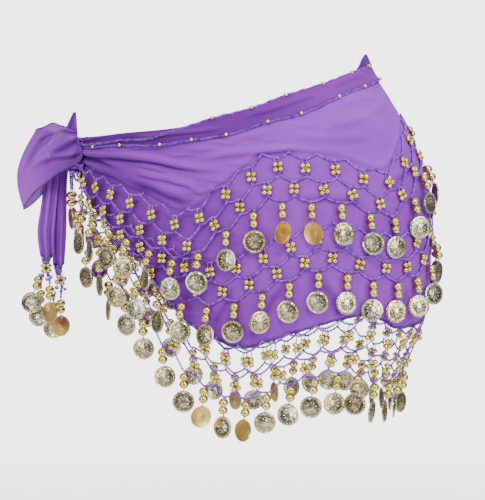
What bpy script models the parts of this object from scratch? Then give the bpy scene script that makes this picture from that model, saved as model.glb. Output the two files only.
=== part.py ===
# Coin hip scarf, tied on: a chiffon wrap with a turned waist fold, three tiers of
# crochet net with coin fringes, and a knot at the wearer's right hip with its bow
# loop and two hanging ends. Metres, +Z up, -Y is the wearer's front and +X the
# wearer's left. The origin is the middle of the hollow at the waist, where it is held.
import math

import bmesh
import bpy
import numpy as np
from mathutils import Euler, Vector

MM = 0.001

# Driving dimensions
CENTRE_ANGLE = math.radians(21.6)     # the scarf's middle, a little behind the left hip
DEPTH_SHARE = 0.70                    # front-to-back size of the hips over their breadth
CLOTH = 1.2 * MM                      # wall of the wrap
LIGHT_CLOTH = 1.0 * MM                # wall of the fold, the bow and the hanging ends
SEAM_GAP = 0.3 * MM
FOLD_GAP = 0.5 * MM                   # the turned fold off the wrap, for the curve between them
FOOT_GAP = 0.7 * MM                   # the last flowers over the coins' row, for the hips' slope
CORD = 1.4 * MM                       # crochet cord, across its thickness
CORD_WIDTH = 1.7 * MM
COIN_RADIUS = 10.0 * MM
COIN_THICKNESS = 1.4 * MM
BEAD = 6.2 * MM                       # the pair of round beads above each coin
ZIGZAG = 3.2 * MM                     # a net row's rise and fall
WRAP_COLUMNS = 40
FOLD_SHARE = 0.95                     # the waist fold stops this share of the way to its line
FOLD_STEPS, DROP_STEPS = 6, 4         # rows of faces over the knot's folds and below them
FOLD_DEPTH = 2.2 * MM                 # the two folds that run from the knot
FOLDS_FROM, FOLDS_FULL = 78.0, 150.0  # degrees round where they begin and are deepest
END_GAP = 3.0 * MM                    # each end of the wrap stops this short of the knot's middle

# The hips the scarf is tied on: height, sideways shift and half breadth, in mm
HIP_SECTIONS = (
    (60.0, -15.0, 143.5),
    (40.0, -13.0, 146.0),
    (5.0, -1.0, 157.0),
    (-28.0, 10.0, 166.0),
    (-70.0, 17.5, 172.5),
    (-113.0, 20.5, 174.5),
    (-155.0, 20.5, 173.5),
    (-179.0, 19.5, 171.5),
    (-221.0, 15.0, 160.0),
    (-249.0, 13.0, 150.0),
    (-330.0, 9.0, 137.0),
)

# Lines on the wrap: degrees round from the middle of the scarf (0) to the knot (180),
# and height in mm. The front and the back half share them, but for the top edge.
TOP_FRONT = (
    (0, 41.0), (12, 39.0), (34, 32.0), (52, 22.0), (70, 11.0), (84, -0.5), (98, -9.0),
    (106, -14.5), (115, -18.0), (131, -21.0), (151, -25.0), (180, -27.0),
)
TOP_BACK = (
    (0, 41.0), (4, 47.0), (8, 50.0), (13, 47.5), (22, 38.5), (34, 31.0), (52, 21.0),
    (70, 10.0), (84, -1.5), (98, -10.0), (115, -18.0), (151, -25.0), (180, -27.0),
)
FOLD_LINE = (
    (0, 29.0), (10, 27.0), (29, 21.0), (46, 12.5), (67, -4.5), (80, -12.0), (94, -23.0),
    (107, -28.0), (119, -32.5), (136, -33.0), (153, -35.0), (180, -36.0),
)
HEM = (
    (0, -190.0), (15, -195.0), (34, -196.0), (41, -190.0), (49, -182.0), (61, -185.0),
    (75, -196.0), (83, -204.0), (89, -211.0), (96, -209.0), (101, -200.0), (110, -187.0),
    (116, -168.0), (122, -147.0), (128, -125.0), (135, -114.0), (153, -84.0), (180, -50.0),
)
NET_TOP = (
    (0, -6.5), (17, -17.0), (28, -36.0), (41, -55.0), (50, -52.0), (60, -43.0), (70, -42.0),
    (84, -42.0), (92, -56.0), (101, -73.0), (106, -87.0), (111, -93.0), (121, -85.0),
    (129, -76.0), (140, -66.0), (155, -57.0), (180, -49.0),
)
NET_MIDDLE = (
    (0, -75.0), (10, -88.0), (19, -103.0), (28, -109.0), (38, -113.0), (48, -111.0),
    (55, -108.0), (63, -102.5), (70, -103.5), (78, -111.0), (90, -125.0), (97, -132.0),
    (106, -133.0), (114, -128.0), (127, -113.0), (136, -102.0), (146, -92.0), (157, -85.0),
)
NET_HEM = (
    (0, -192.0), (15, -197.0), (34, -198.0), (41, -193.0), (49, -187.0), (61, -189.0),
    (75, -199.0), (83, -206.0), (89, -212.0), (96, -211.0), (101, -205.0), (110, -192.0),
    (116, -175.0), (122, -157.0), (128, -137.0), (135, -120.0), (150, -96.0),
)

# Tiers of net. Columns count one half, from the middle to the end near the knot; drop_1
# and drop_2 part the three rows; out is the layer over the hips and clear holds the coins
# off what lies behind them. Where the tiers crowd together near the knot, lift raises a
# tier over the one under it and near_knot holds its coins off further.
TIERS = {
    "top": dict(line=NET_TOP, end=172, columns=18, drop_1=20.0, drop_2=17.5,
                out=1.6, lift=3.6, clear=4.3, near_knot=7.8),
    "middle": dict(line=NET_MIDDLE, end=157, columns=17, drop_1=20.0, drop_2=17.0,
                   out=1.6, lift=1.8, clear=4.2, near_knot=5.2),
    "hem": dict(line=NET_HEM, end=146, columns=17, drop_1=25.0, drop_2=20.0,
                out=1.6, lift=0.0, clear=3.0, near_knot=0.0),
}
CROWD_FROM, CROWD_FULL = 92.0, 112.0
THIN_FROM, THIN_FULL = 157.0, 168.0   # past the lower tiers' ends the top one lies close again

# How far each coin is turned about the upright, in degrees, from the middle to the knot
COIN_TURNS = {
    "top": (20, -48, -30, -8, -34, -40, -12, 52, 8, -14, 16, 10, -30, 24, 10, -14, 8, -20),
    "middle": (-20, -34, -38, -18, -14, 8, -16, -10, 38, 12, -14, 16, -20, 14, 20, -16, 14),
    "hem": (-28, 14, 20, 30, -36, -42, -12, 8, 16, 58, -20, 52, 30, 20, 24, 14, -24),
}
BACK_TURN = -0.8                      # the back half's coins turn the other way, and less

# A coin strand below its net row: depth, half width, thickness, and the share of the
# coin's turn that the strand has taken there
COIN_TOP, NECK = 17.6 * MM, 1.8 * MM
STRAND_LEVELS = (
    (5.6 * MM, BEAD / 2, BEAD, 0.25),
    (12.0 * MM, BEAD / 2, BEAD, 0.5),
    (16.6 * MM, NECK / 2, COIN_THICKNESS, 1.0),
    (COIN_TOP + COIN_RADIUS * 0.5, COIN_RADIUS * 0.87, COIN_THICKNESS, 1.0),
    (COIN_TOP + COIN_RADIUS * 1.5, COIN_RADIUS * 0.87, COIN_THICKNESS, 1.0),
    (COIN_TOP + COIN_RADIUS * 2.0, COIN_RADIUS * 0.18, COIN_THICKNESS, 1.0),
)
BEADS_END, COIN_BEGINS = 12.0 * MM, 18.0 * MM

# The knot and the pointed tip of the edge that stands out of it
KNOT_HEIGHT = -40.0 * MM
KNOT_OUT = 17.2 * MM
KNOT_RADII = (14.4 * MM, 14.0 * MM, 16.0 * MM)  # outward, forward, upward
KNOT_STEPS = (14, 8)
KNOT_SIDE = 0.4                       # past its outline, the share of its height that ends rise to
TIP_LENGTH, TIP_RADIUS, TIP_POINT = 22.0 * MM, 4.0 * MM, 0.9 * MM
TIP_PLACE, TIP_LEAN = -4.0 * MM, 9.0 * MM

# The loop of the bow, from the knot round its far fold and back: share of the way, its
# top edge outward and up from the knot, its low edge outward and up, how far forward, and
# how far the cloth between the edges swells outward and forward, in mm
BOW = (
    (0.00, -12.0, 11.0, -11.0, -6.0, 15.4, 0.0, 0.0),
    (0.12, -16.0, 18.0, -16.0, -6.0, 29.5, 0.0, 2.0),
    (0.25, -6.0, 24.5, -6.0, -14.0, 31.0, 0.0, 4.0),
    (0.38, 9.0, 26.5, 14.0, -34.0, 26.0, 6.5, 4.0),
    (0.50, 23.5, 18.5, 36.0, -54.0, 17.0, 12.0, 1.5),
    (0.60, 24.0, 15.0, 33.0, -47.0, 9.0, 12.0, 0.0),
    (0.80, 20.5, 9.0, 23.0, -22.0, 4.0, 6.0, 0.0),
    (1.00, 14.9, 6.0, 14.9, -3.5, 4.0, 0.0, 0.0),
)
BOW_STEPS = (16, 5)

# Hanging ends under the knot: height, outward place, half width and half depth, in mm
TAILS = {
    "outer": dict(forward=6.5, flutes=5, sections=(
        (-47.0, 9.5, 6.5, 6.0), (-68.0, 11.0, 6.5, 6.0), (-92.0, 13.5, 6.8, 6.0),
        (-116.0, 16.0, 7.2, 6.0), (-139.0, 15.0, 6.0, 4.5))),
    "inner": dict(forward=-7.0, flutes=4, sections=(
        (-47.0, 2.0, 6.5, 6.0), (-68.0, 3.5, 6.2, 6.0), (-96.0, 4.5, 6.2, 6.0),
        (-122.0, 5.5, 6.4, 6.0), (-148.0, 5.5, 5.0, 4.5))),
}
TAIL_POINTS = 16
TAIL_FLUTE = 0.16                     # flute depth over the section's radius
TAIL_TWIST = 0.012                    # how far the flutes turn down the end, radians a mm
TAIL_BAR = 2.4 * MM                   # crochet bar under a hanging end
# Coin strands of each end: outward and forward place, thread above the beads, in mm, and
# the coin's turn in degrees
TAIL_STRANDS = {
    "outer": ((-2.5, 2.5, 23.5, 40), (9.0, -8.5, 28.0, 10), (15.0, 1.5, 14.0, -20)),
    "inner": ((-2.5, 3.5, 28.5, -10), (5.8, -5.0, 31.5, 15)),
}


def smooth(rows, at):
    """A smooth curve through a table's first two columns, read at one place."""
    if at <= rows[0][0]:
        return rows[0][1]
    if at >= rows[-1][0]:
        return rows[-1][1]
    i = max(k for k in range(len(rows) - 1) if rows[k][0] <= at)
    before, a, b, after = rows[max(i - 1, 0)], rows[i], rows[i + 1], rows[min(i + 2, len(rows) - 1)]
    span = b[0] - a[0]
    lean_a = (b[1] - before[1]) / (b[0] - before[0]) * span
    lean_b = (after[1] - a[1]) / (after[0] - a[0]) * span
    t = (at - a[0]) / span
    return ((2 * t**3 - 3 * t**2 + 1) * a[1] + (t**3 - 2 * t**2 + t) * lean_a
            + (3 * t**2 - 2 * t**3) * b[1] + (t**3 - t**2) * lean_b)


def ease(low, high, at):
    """0 below low, 1 above high and a soft step between."""
    t = min(1.0, max(0.0, (at - low) / (high - low)))
    return t * t * (3 - 2 * t)


SHIFTS = tuple((row[0], row[1]) for row in reversed(HIP_SECTIONS))
BREADTHS = tuple((row[0], row[2]) for row in reversed(HIP_SECTIONS))


def ring_lengths(steps=720):
    """Length along the widest ring for each angle from the knot by the front, the middle and the back."""
    half = max(row[2] for row in HIP_SECTIONS) * MM
    turns = np.linspace(-math.pi, math.pi, steps + 1)
    mids = CENTRE_ANGLE + (turns[1:] + turns[:-1]) / 2
    speed = half * np.sqrt(np.sin(mids) ** 2 + (DEPTH_SHARE * np.cos(mids)) ** 2)
    along = np.concatenate([[0.0], np.cumsum(speed * np.diff(turns))])
    return turns, along - np.interp(0.0, turns, along)


TURNS, ALONG = ring_lengths()


def turn_at(along):
    """Signed turn from the middle, in radians, at a length along the ring; the front is negative."""
    return float(np.interp(along, ALONG, TURNS))


def along_at(turn_degrees):
    """Length along the ring at a signed turn in degrees."""
    return float(np.interp(math.radians(turn_degrees), TURNS, ALONG))


def read_line(rows, along):
    """Height in metres of a line on the wrap, at a length along the ring."""
    return smooth(rows, abs(math.degrees(turn_at(along)))) * MM


def top_edge(along):
    """Height of the wrap's top edge."""
    return read_line(TOP_FRONT if along < 0 else TOP_BACK, along)


def gather(along, height):
    """How far the wrap stands out in the two folds that run from the knot."""
    turn = abs(math.degrees(turn_at(along)))
    high, low = read_line(FOLD_LINE, along), read_line(NET_TOP, along) + ZIGZAG
    share = (high - height) / (high - low)
    if not 0.0 < share < 1.0:
        return 0.0
    return FOLD_DEPTH * ease(FOLDS_FROM, FOLDS_FULL, turn) * math.sin(2 * math.pi * share) ** 2


def crowding(along):
    """0 where the tiers lie apart, 1 where they crowd together near the knot."""
    turn = abs(math.degrees(turn_at(along)))
    return ease(CROWD_FROM, CROWD_FULL, turn) * (1 - ease(THIN_FROM, THIN_FULL, turn))


def on_hips(along, height, out=0.0):
    """A point on the scarf, out from the inner face of the wrap."""
    angle = CENTRE_ANGLE + turn_at(along)
    half = smooth(BREADTHS, height / MM) * MM
    deep = DEPTH_SHARE * half
    normal = Vector((math.cos(angle) / half, math.sin(angle) / deep, 0.0)).normalized()
    shift = smooth(SHIFTS, height / MM) * MM
    return Vector((shift + half * math.cos(angle), deep * math.sin(angle), height)) + normal * out


def outward_at(along, height):
    """Level direction away from the wearer."""
    return (on_hips(along, height, 1.0) - on_hips(along, height)).normalized()


def material(name, colour, roughness, metallic):
    """A Principled material with the part's colour."""
    made = bpy.data.materials.new(name)
    made.use_nodes = True
    shader = made.node_tree.nodes["Principled BSDF"]
    shader.inputs["Base Color"].default_value = (*colour, 1.0)
    shader.inputs["Roughness"].default_value = roughness
    shader.inputs["Metallic"].default_value = metallic
    return made


def from_axis(point):
    """Away from the upright axis of the hips."""
    return Vector((point.x - smooth(SHIFTS, point.z / MM) * MM, point.y, 0.0))


def placed(name, work, dressed):
    """Makes a bmesh an object of the scarf."""
    mesh = bpy.data.meshes.new(name)
    work.to_mesh(mesh)
    work.free()
    mesh.materials.append(dressed)
    made = bpy.data.objects.new(name, mesh)
    scarf.objects.link(made)
    return made


def solid(name, work, dressed):
    """A closed bmesh made an object, its faces pointing out."""
    work.normal_update()
    bmesh.ops.recalc_face_normals(work, faces=work.faces)
    return placed(name, work, dressed)


def sheet(name, work, dressed, thickness, offset=1.0, toward=from_axis):
    """An open sheet made a walled object, its first face turned toward the side it grows to."""
    work.normal_update()
    bmesh.ops.recalc_face_normals(work, faces=work.faces)
    work.faces.ensure_lookup_table()
    first = work.faces[0]
    if first.normal.dot(toward(first.calc_center_median())) < 0:
        bmesh.ops.reverse_faces(work, faces=work.faces)
    made = placed(name, work, dressed)
    wall = made.modifiers.new("wall", "SOLIDIFY")
    wall.thickness = thickness
    wall.offset = offset
    return made


def varied_sheet(name, net, toward=from_axis):
    """A sheet of brass strands whose wall follows the thickness that each point carries."""
    made = sheet(name, net.work, brass, BEAD, offset=0.0, toward=toward)
    made.vertex_groups.new(name="thick")
    made.modifiers["wall"].vertex_group = "thick"
    made.modifiers["wall"].thickness_vertex_group = 0.0


def grid_sheet(columns, rows, place):
    """A grid primitive whose points are laid by place(share along, share down)."""
    work = bmesh.new()
    bmesh.ops.create_grid(work, x_segments=columns, y_segments=rows, size=0.5)
    for point in work.verts:
        point.co = place(point.co.x + 0.5, 0.5 - point.co.y)
    return work


def wrap_along(share):
    """Length along the ring for a share of the wrap, from its front end to its back end."""
    low, high = ALONG[0] + END_GAP, ALONG[-1] - END_GAP
    return low + (high - low) * share


def build_wrap():
    """The chiffon wrap, with the folds that run from the knot."""
    rows = 1 + FOLD_STEPS + DROP_STEPS

    def place(share, down):
        along = wrap_along(share)
        top, fold = top_edge(along), read_line(FOLD_LINE, along)
        net, hem = read_line(NET_TOP, along) + ZIGZAG, read_line(HEM, along)
        row = round(down * rows)
        if row == 0:
            height = top
        elif row <= 1 + FOLD_STEPS:
            height = fold + (net - fold) * (row - 1) / FOLD_STEPS
        else:
            height = net + (hem - net) * (row - 1 - FOLD_STEPS) / DROP_STEPS
        return on_hips(along, height, gather(along, height))

    sheet("wrap", grid_sheet(WRAP_COLUMNS, rows, place), chiffon, CLOTH)


def build_waist_fold():
    """The turned-down top edge, lying on the wrap."""
    def place(share, down):
        along = wrap_along(share)
        top, fold = top_edge(along), read_line(FOLD_LINE, along)
        return on_hips(along, top + (fold - top) * FOLD_SHARE * down, CLOTH + FOLD_GAP)

    sheet("waist_fold", grid_sheet(WRAP_COLUMNS, 1, place), chiffon, LIGHT_CLOTH)


class NetSheet:
    """A flat piece of net drawn in lengths along the ring and heights, then laid on the hips."""

    def __init__(self, out, lift=0.0):
        self.work = bmesh.new()
        self.thick = self.work.verts.layers.deform.verify()
        self.out, self.lift = out, lift

    def corner(self, place, thickness=CORD):
        """A corner of the net at a place in space."""
        made = self.work.verts.new(place)
        made[self.thick][0] = thickness / BEAD
        return made

    def point(self, along, height):
        """A corner of the net on the hips."""
        return self.corner(on_hips(along, height, self.out + self.lift * crowding(along)))

    def face(self, *corners):
        self.work.faces.new(corners)

    def knot(self, along, height, above=False, below=False):
        """A knot of the net: its left, right, upper and lower edges as pairs of points."""
        half = CORD_WIDTH / 2
        if above:
            left, right = self.point(along - half, height + half), self.point(along + half, height + half)
            foot = self.point(along, height - half)
            self.face(left, foot, right)
            return dict(left=(left, foot), right=(right, foot), up=(left, right))
        if below:
            left, right = self.point(along - half, height - half), self.point(along + half, height - half)
            head = self.point(along, height + half)
            self.face(left, right, head)
            return dict(left=(head, left), right=(head, right), down=(left, right))
        head, foot = self.point(along, height + half), self.point(along, height - half)
        return dict(left=(head, foot), right=(head, foot))

    def row(self, knots):
        """The lengths of cord between the knots of a row, from the front end to the back end."""
        for one, other in zip(knots, knots[1:]):
            (top_a, foot_a), (top_b, foot_b) = one["right"], other["left"]
            self.face(top_a, foot_a, foot_b, top_b)

    def flower(self, upper, lower):
        """The bead flower that ties a knot to the one under it."""
        (left, right), (low_left, low_right) = upper["down"], lower["up"]
        self.face(left, right, low_right, low_left)

    def strand(self, root, middle_at, across, turn):
        """A pair of beads and a coin under a root edge; middle_at gives its middle at a depth."""
        above = root
        for depth, half, thickness, taken in STRAND_LEVELS:
            way = across.copy()
            way.rotate(Euler((0.0, 0.0, math.radians(turn) * taken)))
            middle = middle_at(depth)
            below = self.corner(middle - way * half, thickness), self.corner(middle + way * half, thickness)
            self.face(above[0], above[1], below[1], below[0])
            above = below


def tier_places(tier, side):
    """Lengths along the ring of a half tier's knots, from the middle of the scarf outward."""
    pitch = abs(along_at(side * tier["end"])) / tier["columns"]
    return [side * max(step * pitch / 2, SEAM_GAP / 2) for step in range(2 * tier["columns"] + 1)]


def row_height(tier, along, row):
    """Middle height of a net row: 0 along the wrap, 1 and 2 below it."""
    drop = (0.0, tier["drop_1"], tier["drop_1"] + tier["drop_2"])[row]
    return read_line(tier["line"], along) - drop * MM


def over_row(tier, places, step, offset):
    """Height just over row 2 beside its peak knot at a step."""
    def top(k):
        rise = ZIGZAG / 2 if k % 2 == 0 else -ZIGZAG / 2
        return row_height(tier, places[k], 2) + rise + CORD_WIDTH / 2

    toward = step + 1 if offset * (places[step + 1] - places[step]) > 0 else step - 1
    slope = (top(toward) - top(step)) / abs(places[toward] - places[step])
    return top(step) + max(0.0, slope) * abs(offset) + FOOT_GAP


def from_front(knots, side):
    """A half row's knots in order from the front end to the back end."""
    return knots if side > 0 else list(reversed(knots))


def build_net(name, tier, side):
    """Rows 0 and 1 of a tier, tied by flowers, with the flowers that reach down to row 2."""
    net = NetSheet(tier["out"] * MM, tier["lift"] * MM)
    places = tier_places(tier, side)
    upper, lower = [], []
    for step, along in enumerate(places):
        between, inside = step % 2 == 1, step not in (0, len(places) - 1)
        rise = ZIGZAG / 2 if between else -ZIGZAG / 2
        upper.append(net.knot(along, row_height(tier, along, 0) - rise, below=between))
        lower.append(net.knot(along, row_height(tier, along, 1) + rise, above=between,
                              below=inside and not between))
        if between:
            net.flower(upper[step], lower[step])
        elif inside:
            ends = [net.point(along + offset, over_row(tier, places, step, offset))
                    for offset in (-CORD_WIDTH / 2, CORD_WIDTH / 2)]
            net.flower(lower[step], dict(up=ends))
    net.row(from_front(upper, side))
    net.row(from_front(lower, side))
    sheet(name, net.work, crochet, CORD)


def build_coins(name, tier, turns, side):
    """Row 2 of a tier, the narrow cord that the coin strands are fused into."""
    net = NetSheet(tier["out"] * MM + CORD / 2, tier["lift"] * MM)
    knots = []
    for step, along in enumerate(tier_places(tier, side)):
        valley = step % 2 == 1
        height = row_height(tier, along, 2) + (-ZIGZAG if valley else ZIGZAG) / 2
        knots.append(net.knot(along, height, below=valley))
        if not valley:
            continue
        turn = turns[step // 2] * (1 if side < 0 else BACK_TURN)
        clear = (tier["clear"] + tier["near_knot"] * crowding(along)) * MM
        coin_out = clear + COIN_RADIUS * abs(math.sin(math.radians(turn)))
        root_out = (tier["out"] + tier["lift"] * crowding(along)) * MM + BEAD / 2 + SEAM_GAP
        bead_out = max(root_out, min(coin_out, clear + BEAD / 2))

        def middle_at(depth, along=along, height=height, outs=(root_out, bead_out, coin_out)):
            out = (outs[0] + (outs[1] - outs[0]) * ease(0.0, BEADS_END, depth)
                   + (outs[2] - outs[1]) * ease(BEADS_END, COIN_BEGINS, depth))
            return Vector((*on_hips(along, height - depth, out).xy, height - depth))

        outward = outward_at(along, height)
        net.strand(knots[-1]["down"], middle_at, Vector((-outward.y, outward.x, 0.0)), turn)
    net.row(from_front(knots, side))
    varied_sheet(name, net)


class KnotPlace:
    """The middle of the knot with its outward and forward directions."""

    def __init__(self):
        self.outward = outward_at(ALONG[-1], KNOT_HEIGHT)
        self.forward = Vector((-self.outward.y, self.outward.x, 0.0))
        self.middle = on_hips(ALONG[-1], KNOT_HEIGHT, KNOT_OUT)

    def at(self, out, front, height):
        """A place out and forward from the knot's middle, at a height in the part's frame."""
        flat = self.middle + self.outward * out + self.forward * front
        return Vector((flat.x, flat.y, height))

    def underside(self, out, front):
        """Height just under the knot, or of its lower side past its outline."""
        inside = 1 - (out / KNOT_RADII[0]) ** 2 - (front / KNOT_RADII[1]) ** 2
        return KNOT_HEIGHT - KNOT_RADII[2] * math.sqrt(max(KNOT_SIDE ** 2, inside)) - 2 * SEAM_GAP


def build_knot(knot):
    """The pulled-tight knot, and the pointed tip of the edge that stands out of it."""
    work = bmesh.new()
    bmesh.ops.create_uvsphere(work, u_segments=KNOT_STEPS[0], v_segments=KNOT_STEPS[1], radius=1.0)
    for point in work.verts:
        out, front, up = (part * size for part, size in zip(point.co, KNOT_RADII))
        point.co = knot.at(out, front, KNOT_HEIGHT + up)
    solid("knot", work, chiffon)

    work = bmesh.new()
    bmesh.ops.create_cone(work, cap_ends=True, segments=6, radius1=TIP_RADIUS, radius2=TIP_POINT,
                          depth=TIP_LENGTH)
    foot = KNOT_HEIGHT + KNOT_RADII[2] + SEAM_GAP
    for point in work.verts:
        share = point.co.z / TIP_LENGTH + 0.5
        point.co = knot.at(TIP_PLACE + point.co.x - TIP_LEAN * share, point.co.y, foot + share * TIP_LENGTH)
    solid("knot_tip", work, chiffon)


def build_bow(knot):
    """The loop of the bow: a sheet that leaves the knot, turns over and comes back beside it."""
    columns = [tuple((row[0], row[k]) for row in BOW) for k in range(1, len(BOW[0]))]

    def place(share, down):
        top_out, top_up, low_out, low_up, front, bulge, puff = (
            smooth(column, share) * MM for column in columns)
        swell = math.sin(math.pi * down)
        return knot.at(top_out + (low_out - top_out) * down + bulge * swell, front + puff * swell,
                       KNOT_HEIGHT + top_up + (low_up - top_up) * down)

    sheet("bow", grid_sheet(*BOW_STEPS, place), chiffon, LIGHT_CLOTH, toward=lambda point: knot.forward)


def build_tail(name, tail, knot):
    """A gathered end of the cloth that hangs from the knot, open at its foot."""
    work = bmesh.new()
    rings = []
    for height, side, wide, deep in tail["sections"]:
        ring = []
        for i in range(TAIL_POINTS):
            angle = 2 * math.pi * i / TAIL_POINTS
            flute = 1 + TAIL_FLUTE * math.cos(tail["flutes"] * angle + height * TAIL_TWIST)
            out = (side + wide * flute * math.cos(angle)) * MM
            front = (tail["forward"] + deep * flute * math.sin(angle)) * MM
            inner = [place - LIGHT_CLOTH * way for place, way in
                     ((out, math.cos(angle)), (front, math.sin(angle)))]
            level = height * MM if rings else min(knot.underside(out, front), knot.underside(*inner))
            ring.append(work.verts.new(knot.at(out, front, level)))
        rings.append(ring)
    for one, other in zip(rings, rings[1:]):
        for i in range(TAIL_POINTS):
            j = (i + 1) % TAIL_POINTS
            work.faces.new((one[i], one[j], other[j], other[i]))
    axis = knot.at(tail["sections"][0][1] * MM, tail["forward"] * MM, 0.0)
    sheet(f"tail_{name}", work, chiffon, LIGHT_CLOTH, offset=-1.0,
          toward=lambda point: Vector((point.x - axis.x, point.y - axis.y, 0.0)))


def build_tail_coins(name, tail, knot):
    """A short crochet bar under a hanging end, with coin strands of several lengths."""
    foot, middle, wide, _ = tail["sections"][-1]
    top = foot * MM - SEAM_GAP
    strands = TAIL_STRANDS[name]
    edges = [place * MM + share * CORD_WIDTH / 2 for place, *_ in strands for share in (-1, 1)]
    line = [min(-wide * MM, edges[0] - CORD_WIDTH), *edges, max(wide * MM, edges[-1] + CORD_WIDTH)]

    def spot(place, front, height):
        return knot.at(middle * MM + place, (tail["forward"] + front) * MM, height)

    net = NetSheet(0.0)
    upper = [net.corner(spot(place, 0.0, top)) for place in line]
    under = [net.corner(spot(place, 0.0, top - TAIL_BAR)) for place in line]
    for i in range(len(line) - 1):
        net.face(upper[i], under[i], under[i + 1], upper[i + 1])
    for number, (place, front, thread, turn) in enumerate(strands):
        def middle_at(depth, place=place, front=front, thread=thread):
            return spot(place * MM, front, top - TAIL_BAR - thread * MM - depth)

        net.strand((under[1 + 2 * number], under[2 + 2 * number]), middle_at, knot.outward, turn)
    varied_sheet(f"coins_tail_{name}", net, toward=lambda point: knot.forward)


for old in list(bpy.data.objects):
    bpy.data.objects.remove(old)
scarf = bpy.data.collections.new("hip_scarf")
bpy.context.scene.collection.children.link(scarf)
chiffon = material("violet chiffon", (0.36, 0.11, 0.60), 0.7, 0.0)
crochet = material("violet crochet cord", (0.22, 0.10, 0.50), 0.6, 0.0)
brass = material("pale gilt", (0.78, 0.66, 0.36), 0.3, 1.0)

build_wrap()
build_waist_fold()
for tier_name, tier_sizes in TIERS.items():
    for half_name, half_side in (("front", -1), ("back", 1)):
        build_net(f"net_{tier_name}_{half_name}", tier_sizes, half_side)
        build_coins(f"coins_{tier_name}_{half_name}", tier_sizes, COIN_TURNS[tier_name], half_side)
knot_place = KnotPlace()
build_knot(knot_place)
build_bow(knot_place)
for tail_name, tail_sizes in TAILS.items():
    build_tail(tail_name, tail_sizes, knot_place)
    build_tail_coins(tail_name, tail_sizes, knot_place)
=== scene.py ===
"""Looks of the coin hip scarf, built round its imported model.

A violet chiffon wrap tied at the wearer's right hip, with a turned waist fold, three tiers
of crochet net with bead flowers and coin fringes, and a knot with its bow loop and two
hanging ends. Metres, +Z up, -Y is the wearer's front and +X the wearer's left.
"""
import logging
import math
from collections.abc import Callable, Sequence
from dataclasses import dataclass, field
from enum import Enum

import bpy
import numpy as np
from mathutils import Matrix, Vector


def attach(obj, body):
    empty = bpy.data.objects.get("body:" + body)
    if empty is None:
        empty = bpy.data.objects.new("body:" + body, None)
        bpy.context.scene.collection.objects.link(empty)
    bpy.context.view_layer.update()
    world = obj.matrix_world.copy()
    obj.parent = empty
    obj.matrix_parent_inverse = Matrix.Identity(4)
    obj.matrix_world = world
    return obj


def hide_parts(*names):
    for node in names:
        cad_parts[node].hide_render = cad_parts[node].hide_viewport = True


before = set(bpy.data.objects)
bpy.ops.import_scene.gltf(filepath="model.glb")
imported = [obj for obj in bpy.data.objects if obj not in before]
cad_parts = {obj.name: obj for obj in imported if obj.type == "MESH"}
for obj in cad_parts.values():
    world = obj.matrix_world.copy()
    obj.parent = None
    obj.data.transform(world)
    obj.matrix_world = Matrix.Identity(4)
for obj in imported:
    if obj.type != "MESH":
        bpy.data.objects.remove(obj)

log = logging.getLogger("hip_scarf")
MM = 0.001
UP = np.array([0.0, 0.0, 1.0])
Rows = tuple[tuple[float, ...], ...]

# The hips the scarf is tied on: height, sideways shift and half breadth, in mm
HIP_SECTIONS: Rows = (
    (60.0, -15.0, 143.5), (40.0, -13.0, 146.0), (5.0, -1.0, 157.0), (-28.0, 10.0, 166.0),
    (-70.0, 17.5, 172.5), (-113.0, 20.5, 174.5), (-155.0, 20.5, 173.5), (-179.0, 19.5, 171.5),
    (-221.0, 15.0, 160.0), (-249.0, 13.0, 150.0), (-330.0, 9.0, 137.0),
)
# Lines on the wrap: degrees round from the middle of the scarf to the knot, height in mm
TOP_FRONT: Rows = (
    (0, 41.0), (12, 39.0), (34, 32.0), (52, 22.0), (70, 11.0), (84, -0.5), (98, -9.0),
    (106, -14.5), (115, -18.0), (131, -21.0), (151, -25.0), (180, -27.0),
)
TOP_BACK: Rows = (
    (0, 41.0), (4, 47.0), (8, 50.0), (13, 47.5), (22, 38.5), (34, 31.0), (52, 21.0),
    (70, 10.0), (84, -1.5), (98, -10.0), (115, -18.0), (151, -25.0), (180, -27.0),
)
FOLD_LINE: Rows = (
    (0, 29.0), (10, 27.0), (29, 21.0), (46, 12.5), (67, -4.5), (80, -12.0), (94, -23.0),
    (107, -28.0), (119, -32.5), (136, -33.0), (153, -35.0), (180, -36.0),
)
HEM: Rows = (
    (0, -190.0), (15, -195.0), (34, -196.0), (41, -190.0), (49, -183.0), (61, -187.0),
    (75, -198.0), (83, -206.0), (89, -212.0), (96, -211.0), (101, -204.0), (110, -192.0),
    (116, -175.0), (122, -156.0), (128, -135.0), (135, -122.0), (153, -92.0), (180, -54.0),
)
NET_TOP: Rows = (
    (0, -6.5), (17, -17.0), (28, -36.0), (41, -55.0), (50, -52.0), (60, -43.0), (70, -42.0),
    (84, -42.0), (92, -56.0), (101, -73.0), (106, -87.0), (111, -93.0), (121, -85.0),
    (129, -76.0), (140, -66.0), (155, -57.0), (180, -49.0),
)
NET_MIDDLE: Rows = (
    (0, -75.0), (10, -88.0), (19, -103.0), (28, -109.0), (38, -113.0), (48, -111.0),
    (55, -108.0), (63, -102.5), (70, -103.5), (78, -111.0), (90, -125.0), (97, -132.0),
    (106, -133.0), (114, -128.0), (127, -113.0), (136, -102.0), (146, -92.0), (157, -85.0),
)
NET_HEM: Rows = (
    (0, -192.0), (15, -197.0), (34, -198.0), (41, -193.0), (49, -187.0), (61, -189.0),
    (75, -199.0), (83, -206.0), (89, -212.0), (96, -211.0), (101, -205.0), (110, -192.0),
    (116, -175.0), (122, -157.0), (128, -137.0), (135, -120.0), (150, -96.0),
)
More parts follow.
